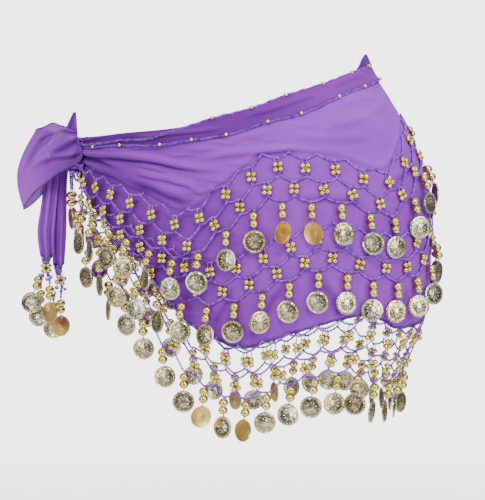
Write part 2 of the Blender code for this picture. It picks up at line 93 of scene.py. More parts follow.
# The crochet edge of the turned cloth: past 100 degrees it dips over the fold to the knot
EDGE_FRONT: Rows = (
    (0, 41.6), (12, 39.6), (34, 32.6), (52, 22.6), (70, 11.6), (84, 0.1), (98, -8.6),
    (107, -15.8), (114, -21.0), (121, -26.2), (128, -27.8), (136, -28.4), (144, -31.0), (168, -34.0),
)
EDGE_BACK: Rows = (
    (0, 41.6), (4, 47.6), (8, 50.4), (13, 48.1), (22, 39.1), (34, 31.6), (52, 21.6), (70, 10.6),
    (84, -0.9), (98, -9.4), (108, -15.4), (117, -21.5), (127, -25.6), (140, -29.0), (168, -33.6),
)
# Degrees round of the single beads on the two crochet edges
WAIST_BEADS = (14.0, 35.0, 52.0, 70.0, 84.0, 98.0)
FOLD_BEADS = (8.0, 31.0, 47.0, 67.0, 80.0, 94.0, 106.0, 118.0, 135.0, 151.0)
# Coins' turns about the upright, in degrees, from the middle to the knot
COIN_TURNS: dict[str, tuple[int, ...]] = {
    "top": (20, -15, -30, -8, -34, -34, -40, 54, 8, -14, 16, 10, -30, 24, 10, -14, 8, -20),
    "middle": (-20, -34, -34, -18, -14, 8, -16, -10, 34, 12, -14, 16, -20, 14, 20, -16, 14),
    "hem": (-28, 14, 20, 30, -36, -34, -12, 8, 16, 58, -20, 52, 30, 20, 24, 14, -24),
}
# The bow's loop: share of its length, top edge outward and up from the knot, low edge
# outward and up, how far forward, and its swell outward and forward, in mm
BOW: Rows = (
    (0.00, -11.0, 12.0, -10.0, -6.0, 15.4, 0.0, 0.0),
    (0.10, -15.5, 19.6, -22.5, 1.5, 27.0, 1.0, 2.0),
    (0.17, -10.0, 22.8, -20.0, -7.5, 30.5, -0.5, 3.5),
    (0.25, -2.0, 25.2, -9.0, -14.0, 31.0, 0.0, 4.5),
    (0.32, 4.5, 27.2, 3.0, -20.0, 29.5, 2.5, 4.5),
    (0.38, 11.0, 26.6, 14.0, -28.6, 26.0, 6.5, 4.0),
    (0.44, 18.0, 24.2, 25.6, -38.0, 22.0, 9.4, 3.0),
    (0.50, 24.4, 20.6, 36.6, -53.4, 16.0, 11.0, 1.5),
    (0.56, 24.0, 20.3, 30.5, -50.5, 10.5, 12.0, 0.0),
    (0.63, 21.5, 21.8, 24.5, -45.0, 7.0, 11.0, 0.0),
    (0.72, 16.0, 21.5, 19.5, -38.5, 4.5, 8.0, 0.0),
    (0.85, 10.0, 18.0, 15.5, -20.0, 4.0, 4.0, 0.0),
    (1.00, 14.9, 6.0, 14.9, -3.5, 4.0, 0.0, 0.0),
)


class Slot(Enum):
    """Material slots of the record."""

    CHIFFON = "chiffon"
    CORD = "crochet_cord"
    COIN = "coin_metal"
    BEAD = "bead_metal"


class Side(Enum):
    """The two halves of the scarf, from its middle to the knot."""

    FRONT = -1
    BACK = 1

    @property
    def label(self) -> str:
        """Name of the half as the nodes carry it."""
        return self.name.lower()


def ease(low: float, high: float, at: np.ndarray) -> np.ndarray:
    """A soft step from 0 below low to 1 above high.

    Args:
        low: Where the step begins.
        high: Where the step is complete.
        at: Places to read.

    Returns:
        The share of the step at each place.
    """
    t = np.clip((np.asarray(at, float) - low) / (high - low), 0.0, 1.0)
    return t * t * (3 - 2 * t)


def unit(vectors: np.ndarray) -> np.ndarray:
    """Vectors of length one in the same directions."""
    return vectors / np.linalg.norm(vectors, axis=-1, keepdims=True)


class Curve:
    """A smooth curve through a table's places, read at many places at once."""

    samples = 1601

    def __init__(self, rows: Sequence[Sequence[float]], column: int = 1, scale: float = 1.0) -> None:
        """Samples the curve.

        Args:
            rows: Table whose first column is the place.
            column: Column of the value.
            scale: Factor for the values.
        """
        at = np.array([row[0] for row in rows], float)
        value = np.array([row[column] for row in rows], float) * scale
        before = np.concatenate([[0], np.arange(len(at) - 1)])
        after = np.concatenate([np.arange(1, len(at)), [len(at) - 1]])
        self.places = np.linspace(at[0], at[-1], self.samples)
        i = np.clip(np.searchsorted(at, self.places, side="right") - 1, 0, len(at) - 2)
        span = at[i + 1] - at[i]
        lean_a = (value[i + 1] - value[before[i]]) / (at[i + 1] - at[before[i]]) * span
        lean_b = (value[after[i + 1]] - value[i]) / (at[after[i + 1]] - at[i]) * span
        t = (self.places - at[i]) / span
        self.values = ((2 * t**3 - 3 * t**2 + 1) * value[i] + (t**3 - 2 * t**2 + t) * lean_a
                       + (3 * t**2 - 2 * t**3) * value[i + 1] + (t**3 - t**2) * lean_b)

    def __call__(self, at: np.ndarray | float) -> np.ndarray:
        """Values at the places."""
        return np.interp(at, self.places, self.values)


class Hips:
    """The form the scarf lies on, in lengths along its widest ring, heights and outs."""

    centre_angle = math.radians(21.6)
    depth_share = 0.70
    fold_depth = 2.2 * MM
    cloth = 1.2 * MM

    def __init__(self) -> None:
        """Samples the sections, the ring and the lines."""
        rising = tuple(reversed(HIP_SECTIONS))
        self.shift = Curve([(row[0] * MM, row[1] * MM) for row in rising])
        self.half = Curve([(row[0] * MM, row[2] * MM) for row in rising])
        widest = max(row[2] for row in HIP_SECTIONS) * MM
        self.turns = np.linspace(-math.pi, math.pi, 721)
        mids = self.centre_angle + (self.turns[1:] + self.turns[:-1]) / 2
        speed = widest * np.sqrt(np.sin(mids) ** 2 + (self.depth_share * np.cos(mids)) ** 2)
        along = np.concatenate([[0.0], np.cumsum(speed * np.diff(self.turns))])
        self.ring = along - np.interp(0.0, self.turns, along)
        self.top_front, self.top_back = Curve(TOP_FRONT, scale=MM), Curve(TOP_BACK, scale=MM)
        self.fold_line, self.hem = Curve(FOLD_LINE, scale=MM), Curve(HEM, scale=MM)
        self.net_top = Curve(NET_TOP, scale=MM)

    def along_at(self, turn: np.ndarray | float) -> np.ndarray:
        """Length along the ring at a signed turn in degrees."""
        return np.interp(np.radians(turn), self.turns, self.ring)

    def turn_at(self, along: np.ndarray | float) -> np.ndarray:
        """Signed turn in radians at a length along the ring."""
        return np.interp(along, self.ring, self.turns)

    def degrees(self, along: np.ndarray | float) -> np.ndarray:
        """Degrees round from the middle of the scarf."""
        return np.abs(np.degrees(self.turn_at(along)))

    def top_edge(self, along: np.ndarray) -> np.ndarray:
        """Height of the wrap's top edge."""
        turn = self.degrees(along)
        return np.where(np.asarray(along) < 0, self.top_front(turn), self.top_back(turn))

    def crowding(self, along: np.ndarray | float) -> np.ndarray:
        """0 where the tiers lie apart, 1 where they crowd together near the knot."""
        turn = self.degrees(along)
        return ease(92.0, 112.0, turn) * (1 - ease(157.0, 168.0, turn))

    def gather(self, along: np.ndarray, height: np.ndarray) -> np.ndarray:
        """How far the wrap stands out in the two folds that run from the knot."""
        turn = self.degrees(along)
        high, low = self.fold_line(turn), self.net_top(turn) + 3.2 * MM
        share = np.clip((high - height) / (high - low), 0.0, 1.0)
        return self.fold_depth * ease(78.0, 150.0, turn) * np.sin(2 * math.pi * share) ** 2

    def outward(self, along: np.ndarray | float, height: np.ndarray | float) -> np.ndarray:
        """Level directions away from the wearer, one row for each place."""
        along, height = np.broadcast_arrays(np.atleast_1d(along), np.atleast_1d(height))
        angle, half = self.centre_angle + self.turn_at(along), self.half(height)
        return unit(np.stack([np.cos(angle) / half, np.sin(angle) / (self.depth_share * half),
                              np.zeros_like(half)], axis=-1))

    def point(self, along: np.ndarray | float, height: np.ndarray | float,
              out: np.ndarray | float = 0.0) -> np.ndarray:
        """Places on the scarf.

        Args:
            along: Lengths along the ring.
            height: Heights.
            out: Distances out from the inner face of the wrap.

        Returns:
            One row of coordinates for each place.
        """
        along, height, out = np.broadcast_arrays(*(np.atleast_1d(x).astype(float)
                                                   for x in (along, height, out)))
        angle, half = self.centre_angle + self.turn_at(along), self.half(height)
        flat = np.stack([self.shift(height) + half * np.cos(angle),
                         self.depth_share * half * np.sin(angle), height], axis=-1)
        return flat + self.outward(along, height) * out[:, None]

    def away(self, points: np.ndarray) -> np.ndarray:
        """Roughly how far places lie out of the inner face of the wrap."""
        half = self.half(points[:, 2])
        x, y = points[:, 0] - self.shift(points[:, 2]), points[:, 1]
        share = np.hypot(x / half, y / (self.depth_share * half))
        return np.hypot(x, y) * (1 - 1 / share)


HIPS = Hips()


@dataclass(frozen=True)
class Crease:
    """A soft trough with a ridge beside it, along a given path in mm."""

    path: tuple[tuple[float, float], ...]
    depth: float
    width: float
    ridge: float = 0.5
    fades: tuple[float, float] = (0.2, 0.25)

    def offsets(self, x: np.ndarray, y: np.ndarray) -> np.ndarray:
        """How far the cloth moves out, in mm.

        Args:
            x: Places along the cloth in mm.
            y: Places up the cloth in mm.

        Returns:
            The offset at each place, negative in the trough.
        """
        nearest, signed, share = np.full(x.shape, 1e9), np.zeros(x.shape), np.zeros(x.shape)
        path = np.array(self.path, float)
        steps = np.diff(path, axis=0)
        lengths = np.hypot(*steps.T)
        reached = np.concatenate([[0.0], np.cumsum(lengths)]) / lengths.sum()
        for start, step, length, low, high in zip(path, steps, lengths, reached, reached[1:]):
            t = np.clip(((x - start[0]) * step[0] + (y - start[1]) * step[1]) / length**2, 0.0, 1.0)
            away_x, away_y = x - start[0] - t * step[0], y - start[1] - t * step[1]
            distance = np.hypot(away_x, away_y)
            above = np.sign(away_y + 1e-9) * distance
            closer = distance < nearest
            nearest = np.where(closer, distance, nearest)
            signed = np.where(closer, above, signed)
            share = np.where(closer, low + t * (high - low), share)
        taper = ease(0.0, self.fades[0], share) * (1 - ease(1 - self.fades[1], 1.0, share))
        trough = -np.exp(-(signed / self.width) ** 2)
        ridge = self.ridge * np.exp(-((signed - 1.9 * self.width) / (1.5 * self.width)) ** 2)
        return self.depth * taper * (trough + ridge)


def creased(creases: Sequence[Crease], x: np.ndarray, y: np.ndarray) -> np.ndarray:
    """The sum of all creases at each place, in mm."""
    return sum((crease.offsets(x, y) for crease in creases), np.zeros(x.shape))


def on_ring(side: Side, places: Sequence[tuple[float, float]]) -> tuple[tuple[float, float], ...]:
    """A path of degrees and heights as lengths along the ring and heights, in mm."""
    return tuple((float(HIPS.along_at(side.value * turn)) / MM, height) for turn, height in places)


def select_only(piece: bpy.types.Object) -> None:
    """Makes one object the only one selected, and active."""
    bpy.ops.object.select_all(action="DESELECT")
    piece.select_set(True)
    bpy.context.view_layer.objects.active = piece


def points_of(mesh: bpy.types.Mesh) -> np.ndarray:
    """A mesh's points, one row each."""
    flat = np.zeros(len(mesh.vertices) * 3, np.float32)
    mesh.vertices.foreach_get("co", flat)
    return flat.reshape(-1, 3).astype(float)


def choose_faces(piece: bpy.types.Object, chosen: Callable[[bpy.types.MeshPolygon], bool]) -> None:
    """Selects faces for edit mode by their place or normal, and enters it.

    Args:
        piece: The object.
        chosen: Says of a face whether it is selected.
    """
    select_only(piece)
    bpy.ops.object.mode_set(mode="EDIT")
    bpy.ops.mesh.select_mode(type="FACE")
    bpy.ops.mesh.select_all(action="DESELECT")
    bpy.ops.object.mode_set(mode="OBJECT")
    for face in piece.data.polygons:
        face.select = chosen(face)
    bpy.ops.object.mode_set(mode="EDIT")


@dataclass(frozen=True)
class Master:
    """A shape that is modelled once and stamped many times."""

    points: np.ndarray
    faces: tuple[np.ndarray, ...]
    marks: np.ndarray

    @classmethod
    def taken_from(cls, piece: bpy.types.Object, marked: Callable[[np.ndarray], np.ndarray],
                   dome: float = 0.0) -> "Master":
        """Reads an object's mesh and removes the object.

        Args:
            piece: The object.
            marked: Says of its points how much age has gathered there, from 0 to 1.
            dome: How far its middle is pressed out along -Y.

        Returns:
            The shape.
        """
        by_size: dict[int, list[list[int]]] = {}
        for face in piece.data.polygons:
            by_size.setdefault(len(face.vertices), []).append(list(face.vertices))
        points = points_of(piece.data)
        marks = marked(points)
        away = (points[:, 0] ** 2 + points[:, 2] ** 2) / np.abs(points).max() ** 2
        points[:, 1] -= dome * (1 - away)
        bpy.data.objects.remove(piece)
        return cls(points, tuple(np.array(group) for group in by_size.values()), marks)


@dataclass
class Pile:
    """Points and faces of many shapes that become one piece."""

    points: list[np.ndarray] = field(default_factory=list)
    faces: list[np.ndarray] = field(default_factory=list)
    tones_and_shade: list[np.ndarray] = field(default_factory=list)
    marks: list[np.ndarray] = field(default_factory=list)
    count: int = 0

    def add(self, points: np.ndarray, faces: Sequence[np.ndarray], tone_and_shade: np.ndarray | float = 0.5,
            marks: np.ndarray | float = 0.0) -> None:
        """Adds one shape.

        Args:
            points: Its points.
            faces: Arrays of faces that count from its first point.
            tone_and_shade: Where its colour lies between the finish's two colours.
            marks: How much age has gathered at its points; a flower's middle bead takes its painted shade this
                way.
        """
        self.points.append(points)
        self.faces.extend(group + self.count for group in faces)
        self.tones_and_shade.append(np.broadcast_to(tone_and_shade, (len(points),)))
        self.marks.append(np.broadcast_to(marks, (len(points),)))
        self.count += len(points)

    def stamp(self, master: Master, place: np.ndarray, size: float = 1.0, tone_and_shade: float = 0.5) -> None:
        """Adds a copy of a master.

        Args:
            master: The shape.
            place: A 3 by 4 array: the columns of its turn, then where it stands.
            size: Its scale.
            tone_and_shade: Its colour's place between the finish's two colours.
        """
        self.add(master.points * size @ place[:, :3].T + place[:, 3], master.faces, tone_and_shade, master.marks)

    def tube(self, path: np.ndarray, radius: np.ndarray | float, sides: int, outward: np.ndarray,
             tone_and_shade: np.ndarray | float = 0.5) -> None:
        """Adds a closed tube along a path.

        Args:
            path: Points that the tube follows.
            radius: Its radius, one for all points or one for each.
            sides: Sides of its section.
            outward: A direction across the path, one for all points or one for each.
            tone_and_shade: Its colour's place between the finish's two colours.
        """
        ahead = unit(np.gradient(path, axis=0))
        across = unit(np.cross(ahead, np.broadcast_to(outward, path.shape)))
        over = np.cross(across, ahead)
        angle = 2 * math.pi * np.arange(sides) / sides
        ring = (np.cos(angle)[None, :, None] * across[:, None]
                + np.sin(angle)[None, :, None] * over[:, None])
        size = np.broadcast_to(radius, (len(path),))[:, None, None]
        points = (path[:, None] + size * ring).reshape(-1, 3)
        i, j = np.meshgrid(np.arange(len(path) - 1), np.arange(sides), indexing="ij")
        k = (j + 1) % sides
        walls = np.stack([i * sides + j, (i + 1) * sides + j, (i + 1) * sides + k, i * sides + k],
                         axis=-1).reshape(-1, 4)
        first = np.arange(sides)
        caps = np.stack([first, (len(path) - 1) * sides + first[::-1]])
        self.add(points, (walls, caps), np.repeat(np.broadcast_to(tone_and_shade, (len(path),)), sides))

    def piece(self, name: str) -> bpy.types.Object:
        """Makes the pile one smooth-shaded object.

        Args:
            name: Name of the object.

        Returns:
            The object, with its tones and marks as point attributes.
        """
        mesh = bpy.data.meshes.new(name)
        faces = [face for group in self.faces for face in group.tolist()]
        mesh.from_pydata(np.concatenate(self.points), [], faces)
        mesh.polygons.foreach_set("use_smooth", np.ones(len(mesh.polygons), bool))
        for label, values in (("tone_and_shade", self.tones_and_shade), ("mark", self.marks)):
            kept = mesh.attributes.new(label, "FLOAT", "POINT")
            kept.data.foreach_set("value", np.concatenate(values).astype(np.float32))
        made = bpy.data.objects.new(name, mesh)
        bpy.context.scene.collection.objects.link(made)
        return made


@dataclass
class Laid:
    """Where a sheet's points lie, their place on the cut cloth, and their painted light and shade."""

    points: np.ndarray
    cut: np.ndarray
    shade: np.ndarray


def lay_sheet(name: str, columns: int, rows: int, place: Callable[[np.ndarray, np.ndarray], Laid],
              outward: Callable[[np.ndarray], np.ndarray], wall: float, offset: float = 1.0,
              joined: bool = False) -> bpy.types.Object:
    """Lays a fine grid of cloth in its form and gives it its wall.

    Args:
        name: Name of the piece.
        columns: Faces along it.
        rows: Faces down it.
        place: Gives where the points lie for their shares along and down.
        outward: Directions in which the sheet's outer face looks, for its points.
        wall: Thickness.
        offset: 1 where the wall grows outward, -1 inward, 0 both ways.
        joined: Whether its two ends meet and are merged.

    Returns:
        The sheet.
    """
    bpy.ops.object.select_all(action="DESELECT")
    bpy.ops.mesh.primitive_grid_add(x_subdivisions=columns, y_subdivisions=rows, size=1.0)
    made = bpy.context.object
    made.name = made.data.name = name
    flat = points_of(made.data)
    laid = place(flat[:, 0] + 0.5, 0.5 - flat[:, 1])
    mesh = made.data
    mesh.vertices.foreach_set("co", laid.points.astype(np.float32).ravel())
    corners = np.zeros(len(mesh.loops), np.int32)
    mesh.loops.foreach_get("vertex_index", corners)
    mesh.uv_layers[0].name = "cut"
    mesh.uv_layers[0].data.foreach_set("uv", laid.cut[corners].astype(np.float32).ravel())
    shade = mesh.attributes.new("tone_and_shade", "FLOAT", "POINT")
    shade.data.foreach_set("value", laid.shade.astype(np.float32))
    mesh.update()
    normals = np.zeros(len(mesh.vertices) * 3, np.float32)
    mesh.vertices.foreach_get("normal", normals)
    if (normals.reshape(-1, 3) * outward(laid.points)).sum() < 0:
        mesh.flip_normals()
    mesh.polygons.foreach_set("use_smooth", np.ones(len(mesh.polygons), bool))
    select_only(made)
    if joined:
        bpy.ops.object.mode_set(mode="EDIT")
        bpy.ops.mesh.select_all(action="SELECT")
        bpy.ops.mesh.remove_doubles(threshold=1e-6)
        bpy.ops.object.mode_set(mode="OBJECT")
    solid = made.modifiers.new("wall", "SOLIDIFY")
    solid.thickness, solid.offset = wall, offset
    bpy.ops.object.modifier_apply(modifier=solid.name)
    return made


class Tree:
    """Adds and links the nodes of one shader tree."""

    def __init__(self, tree: bpy.types.NodeTree) -> None:
        """Keeps the tree."""
        self.tree = tree

    def add(self, kind: str, inputs: dict[str | int, object] | None = None,
            **settings: object) -> bpy.types.Node:
        """Adds a node.

        Args:
            kind: The node's type without ShaderNode.
            inputs: Values of its sockets, or the sockets that are linked to them.
            settings: Its own settings.

        Returns:
            The node.
        """
        node = self.tree.nodes.new(f"ShaderNode{kind}" if not kind.startswith("Node") else kind)
        for name, value in settings.items():
            setattr(node, name, value)
        for name, value in (inputs or {}).items():
            if isinstance(value, bpy.types.NodeSocket):
                self.tree.links.new(value, node.inputs[name])
            else:
                node.inputs[name].default_value = value
        return node

    def maths(self, operation: str, *values: object) -> bpy.types.NodeSocket:
        """Result of a Math node on two values or sockets."""
        return self.add("Math", dict(enumerate(values)), operation=operation).outputs[0]

    def between(self, share: object, low: object, high: object) -> bpy.types.NodeSocket:
        """A colour mixed between two by a share."""
        node = self.add("Mix", {0: share, 6: low, 7: high}, data_type="RGBA")
        return node.outputs[2]

    def within(self, value: object, low: float, high: float, to_low: float = 0.0,
               to_high: float = 1.0) -> bpy.types.NodeSocket:
        """A value taken from one range to another, held at its ends."""
        return self.add("MapRange", {0: value, 1: low, 2: high, 3: to_low, 4: to_high}).outputs[0]


def effect(name: str, takes: dict[str, str], gives: dict[str, str],
           build: Callable[[Tree, bpy.types.NodeOutputs], dict[str, bpy.types.NodeSocket]],
           ) -> bpy.types.NodeTree:
    """Makes a shader node group that several finishes share.

    Args:
        name: Its name.
        takes: Its inputs with their socket kinds.
        gives: Its outputs with their socket kinds.
        build: Adds its nodes and says which socket feeds each output.

    Returns:
        The group.
    """
    group = bpy.data.node_groups.new(name, "ShaderNodeTree")
    for names, way in ((takes, "INPUT"), (gives, "OUTPUT")):
        for label, kind in names.items():
            group.interface.new_socket(name=label, in_out=way, socket_type=f"NodeSocket{kind}")
    tree = Tree(group)
    fed = build(tree, tree.add("NodeGroupInput").outputs)
    tree.add("NodeGroupOutput", dict(fed))
    return group


def cloth_effect(tree: Tree, takes: bpy.types.NodeOutputs) -> dict[str, bpy.types.NodeSocket]:
    """Open weave and fine crinkle of chiffon on its cut's coordinates.

    Args:
        tree: The group's tree.
        takes: The group's inputs.

    Returns:
        The sockets of its Height and Mottle.
    """
    weave = [tree.add("TexWave", {"Vector": takes["Cut"], "Scale": takes["Threads"], "Distortion": 0.6,
                                  "Detail": 1.0}, bands_direction=way).outputs["Fac"] for way in "XY"]
    cross = tree.maths("MULTIPLY", *weave)
    long_way = tree.add("Mapping", {"Vector": takes["Cut"], "Scale": (38.0, 190.0, 1.0)})
    crinkle = tree.add("TexNoise", {"Vector": long_way.outputs[0], "Scale": 1.0, "Detail": 4.0,
                                    "Roughness": 0.55, "Distortion": 0.4}).outputs["Fac"]
    broad = tree.add("Mapping", {"Vector": takes["Cut"], "Scale": (7.0, 20.0, 1.0)})
    mottle = tree.add("TexNoise", {"Vector": broad.outputs[0], "Scale": 1.0, "Detail": 3.0}).outputs["Fac"]
    creased_up = tree.maths("MULTIPLY", crinkle, takes["Crinkle"])
    return {"Height": tree.maths("ADD", tree.maths("MULTIPLY", cross, 0.12), creased_up),
            "Mottle": tree.within(tree.maths("ADD", tree.maths("MULTIPLY", mottle, 0.7),
                                             tree.maths("MULTIPLY", crinkle, 0.3)), 0.3, 0.7)}


def yarn_effect(tree: Tree, takes: bpy.types.NodeOutputs) -> dict[str, bpy.types.NodeSocket]:
    """Loose fibres and lighter nap of crochet yarn.

    Args:
        tree: The group's tree.
        takes: The group's inputs.

    Returns:
        The sockets of its Height and Nap.
    """
    fibre = tree.add("TexNoise", {"Vector": takes["Place"], "Scale": takes["Fibre"], "Detail": 3.0,
                                  "Roughness": 0.6}).outputs["Fac"]
    nap = tree.add("TexNoise", {"Vector": takes["Place"], "Scale": 260.0, "Detail": 2.0}).outputs["Fac"]
    return {"Height": fibre, "Nap": tree.within(nap, 0.35, 0.65)}


def gilt_effect(tree: Tree, takes: bpy.types.NodeOutputs) -> dict[str, bpy.types.NodeSocket]:
    """Pressed, lightly aged gilt: grime in the hollows, which a heavy mark also uses as painted shade, and
    rubbed high places.

    Args:
        tree: The group's tree.
        takes: The group's inputs.

    Returns:
        The sockets of its Height, its grime and painted shade, and Dulled.
    """
    beaten = tree.add("TexVoronoi", {"Vector": takes["Place"], "Scale": takes["Relief"]},
                      feature="SMOOTH_F1").outputs["Distance"]
    cloudy = tree.add("TexNoise", {"Vector": takes["Place"], "Scale": 120.0, "Detail": 3.0}).outputs["Fac"]
    raised = tree.within(beaten, 0.15, 0.6, 1.0, 0.0)
    between = tree.within(beaten, 0.24, 0.44)
    grime = tree.maths("MULTIPLY", between, tree.maths("MAXIMUM", takes["Mark"], takes["Age"]))
    return {"Height": raised, "Grime": grime, "Dulled": tree.within(cloudy, 0.3, 0.75)}


class Effects:
    """The node groups that the finishes share."""

    def __init__(self) -> None:
        """Makes the three groups."""
        self.cloth = effect("chiffon_weave", {"Cut": "Vector", "Threads": "Float", "Crinkle": "Float"},
                            {"Height": "Float", "Mottle": "Float"}, cloth_effect)
        self.yarn = effect("crochet_yarn", {"Place": "Vector", "Fibre": "Float"},
                           {"Height": "Float", "Nap": "Float"}, yarn_effect)
        self.gilt = effect("aged_gilt",
                           {"Place": "Vector", "Mark": "Float", "Relief": "Float", "Age": "Float"},
                           {"Height": "Float", "Grime": "Float", "Dulled": "Float"}, gilt_effect)


Colour = tuple[float, float, float, float]


def new_finish(name: str) -> tuple[bpy.types.Material, Tree, bpy.types.Node]:
    """A new material with its tree and its Principled shader."""
    made = bpy.data.materials.new(name)
    made.use_nodes = True
    return made, Tree(made.node_tree), made.node_tree.nodes["Principled BSDF"]


@dataclass(frozen=True)
class Chiffon:
    """Thin crinkled chiffon, between a deep and a light violet."""

    name: str
    deep: Colour
    light: Colour
    cover: float = 1.0
    crinkle: float = 1.0
    bump: float = 0.5

    def material(self, effects: Effects) -> bpy.types.Material:
        """The finish as a material."""
        made, tree, shader = new_finish(self.name)
        cut = tree.add("UVMap", uv_map="cut").outputs["UV"]
        weave = tree.add("Group", node_tree=effects.cloth)
        tree.tree.links.new(cut, weave.inputs["Cut"])
        weave.inputs["Threads"].default_value = 420.0
        weave.inputs["Crinkle"].default_value = self.crinkle
        # The point attribute carries the laid sheet's painted light and shade, which picks between the deep
        # and the light violet
        tone_and_shade = tree.add("Attribute", attribute_name="tone_and_shade").outputs["Fac"]
        mottled = tree.within(weave.outputs["Mottle"], 0.0, 1.0, -0.13, 0.13)
        share = tree.add("Clamp", {0: tree.maths("ADD", tone_and_shade, mottled)}).outputs[0]
        tree.tree.links.new(tree.between(share, self.deep, self.light), shader.inputs["Base Color"])
        bump = tree.add("Bump", {"Height": weave.outputs["Height"], "Strength": self.bump,
                                 "Distance": 1.6 * MM})
        tree.tree.links.new(bump.outputs[0], shader.inputs["Normal"])
        for socket, value in (("Roughness", 0.72), ("Sheen Weight", 0.12), ("Sheen Roughness", 0.45),
                              ("Sheen Tint", (0.86, 0.74, 1.0, 1.0)), ("Specular IOR Level", 0.2),
                              ("Alpha", self.cover)):
            shader.inputs[socket].default_value = value
        return made


@dataclass(frozen=True)
class Yarn:
    """Soft crochet yarn between two tones."""

    name: str
    deep: Colour
    light: Colour

    def material(self, effects: Effects) -> bpy.types.Material:
        """The finish as a material."""
        made, tree, shader = new_finish(self.name)
        place = tree.add("TexCoord").outputs["Object"]
        fibre = tree.add("Group", node_tree=effects.yarn)
        tree.tree.links.new(place, fibre.inputs["Place"])
        fibre.inputs["Fibre"].default_value = 1400.0
        # The point attribute carries the chain's painted light and shade, with random tone
        tone_and_shade = tree.add("Attribute", attribute_name="tone_and_shade").outputs["Fac"]
        napped = tree.within(fibre.outputs["Nap"], 0.0, 1.0, -0.3, 0.3)
        share = tree.add("Clamp", {0: tree.maths("ADD", tone_and_shade, napped)}).outputs[0]
        tree.tree.links.new(tree.between(share, self.deep, self.light), shader.inputs["Base Color"])
        bump = tree.add("Bump", {"Height": fibre.outputs["Height"], "Strength": 0.6, "Distance": 0.4 * MM})
        tree.tree.links.new(bump.outputs[0], shader.inputs["Normal"])
        for socket, value in (("Roughness", 0.66), ("Sheen Weight", 0.05), ("Sheen Roughness", 0.35),
                              ("Sheen Tint", (0.8, 0.75, 1.0, 1.0)), ("Specular IOR Level", 0.35)):
            shader.inputs[socket].default_value = value
        return made


@dataclass(frozen=True)
class Gilt:
    """Thin gilt over pressed metal, from a warm tone to a pale one, with age in its hollows."""

    name: str
    warm: Colour
    pale: Colour
    grime: Colour
    relief: float
    age: float
    bump: float
    roughness: tuple[float, float]
    worn: float = 0.0

    def material(self, effects: Effects) -> bpy.types.Material:
        """The finish as a material."""
        made, tree, shader = new_finish(self.name)
        place = tree.add("TexCoord").outputs["Object"]
        aged = tree.add("Group", node_tree=effects.gilt)
        tree.tree.links.new(place, aged.inputs["Place"])
        marks = tree.add("Attribute", attribute_name="mark").outputs["Fac"]
        tree.tree.links.new(marks, aged.inputs["Mark"])
        aged.inputs["Relief"].default_value = self.relief
        tone_and_shade = tree.add("Attribute", attribute_name="tone_and_shade").outputs["Fac"]
        pressed = tree.within(tone_and_shade, 0.32, 0.5, 0.12, 1.0)
        tree.tree.links.new(tree.maths("MULTIPLY", pressed, self.age), aged.inputs["Age"])
        clean = tree.between(tone_and_shade, self.warm, self.pale)
        tree.tree.links.new(tree.between(aged.outputs["Grime"], clean, self.grime),
                            shader.inputs["Base Color"])
        rough = tree.maths("ADD", tree.within(aged.outputs["Dulled"], 0.0, 1.0, *self.roughness),
                           tree.within(pressed, 0.12, 1.0, self.worn, 0.0))
        tree.tree.links.new(rough, shader.inputs["Roughness"])
        bump = tree.add("Bump", {"Height": tree.maths("MULTIPLY", aged.outputs["Height"], pressed),
                                 "Strength": self.bump, "Distance": 0.5 * MM})
        tree.tree.links.new(bump.outputs[0], shader.inputs["Normal"])
        shader.inputs["Metallic"].default_value = 1.0
        return made


class Finishes:
    """Every material of the scarf."""

    def __init__(self) -> None:
        """Builds them round the shared effects."""
        effects = Effects()
        deep, light = (0.085, 0.004, 0.20, 1.0), (0.405, 0.058, 0.75, 1.0)
        self.wrap = Chiffon("violet_chiffon", deep, light).material(effects)
        self.double = Chiffon("doubled_chiffon", (0.07, 0.003, 0.16, 1.0), (0.285, 0.035, 0.50, 1.0),
                              crinkle=1.3).material(effects)
        self.sheer = Chiffon("sheer_chiffon", (0.10, 0.006, 0.24, 1.0), (0.48, 0.095, 0.80, 1.0), cover=0.86,
                             crinkle=1.5, bump=0.8).material(effects)
        self.gathered = Chiffon("gathered_chiffon", (0.075, 0.003, 0.17, 1.0), (0.45, 0.075, 0.80, 1.0),
                                crinkle=1.4).material(effects)
        self.yarn = Yarn("crochet_yarn", (0.05, 0.003, 0.19, 1.0), (0.48, 0.14, 0.98, 1.0)).material(effects)
        self.edging = Yarn("edge_yarn", (0.05, 0.003, 0.16, 1.0), (0.32, 0.08, 0.68, 1.0)).material(effects)
        self.rolled = Yarn("rolled_hem", (0.05, 0.01, 0.13, 1.0), (0.16, 0.05, 0.34, 1.0)).material(effects)
        self.bead = Gilt("gilt_bead", (0.80, 0.65, 0.12, 1.0), (0.97, 0.86, 0.32, 1.0),
                         (0.18, 0.13, 0.03, 1.0), 240.0, 0.15, 0.06, (0.04, 0.09)).material(effects)
        self.coin = Gilt("gilt_coin", (0.98, 0.62, 0.15, 1.0), (0.84, 0.83, 0.62, 1.0),
                         (0.20, 0.185, 0.10, 1.0), 520.0, 0.22, 0.2, (0.16, 0.28), 0.10).material(effects)


def dress(piece: bpy.types.Object, finish: bpy.types.Material, slot: Slot,
          stands_for: Sequence[str] = ()) -> bpy.types.Object:
    """Gives a piece its finish and tells the frame about it.

    Args:
        piece: The object.
        finish: Its material.
        slot: Not used.
        stands_for: CAD nodes that it replaces.

    Returns:
        The piece.
    """
    piece.data.materials.clear()
    piece.data.materials.append(finish)
    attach(piece, "root")
    if stands_for:
        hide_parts(*stands_for)
    log.info("%s: %d faces", piece.name, len(piece.data.polygons))
    return piece


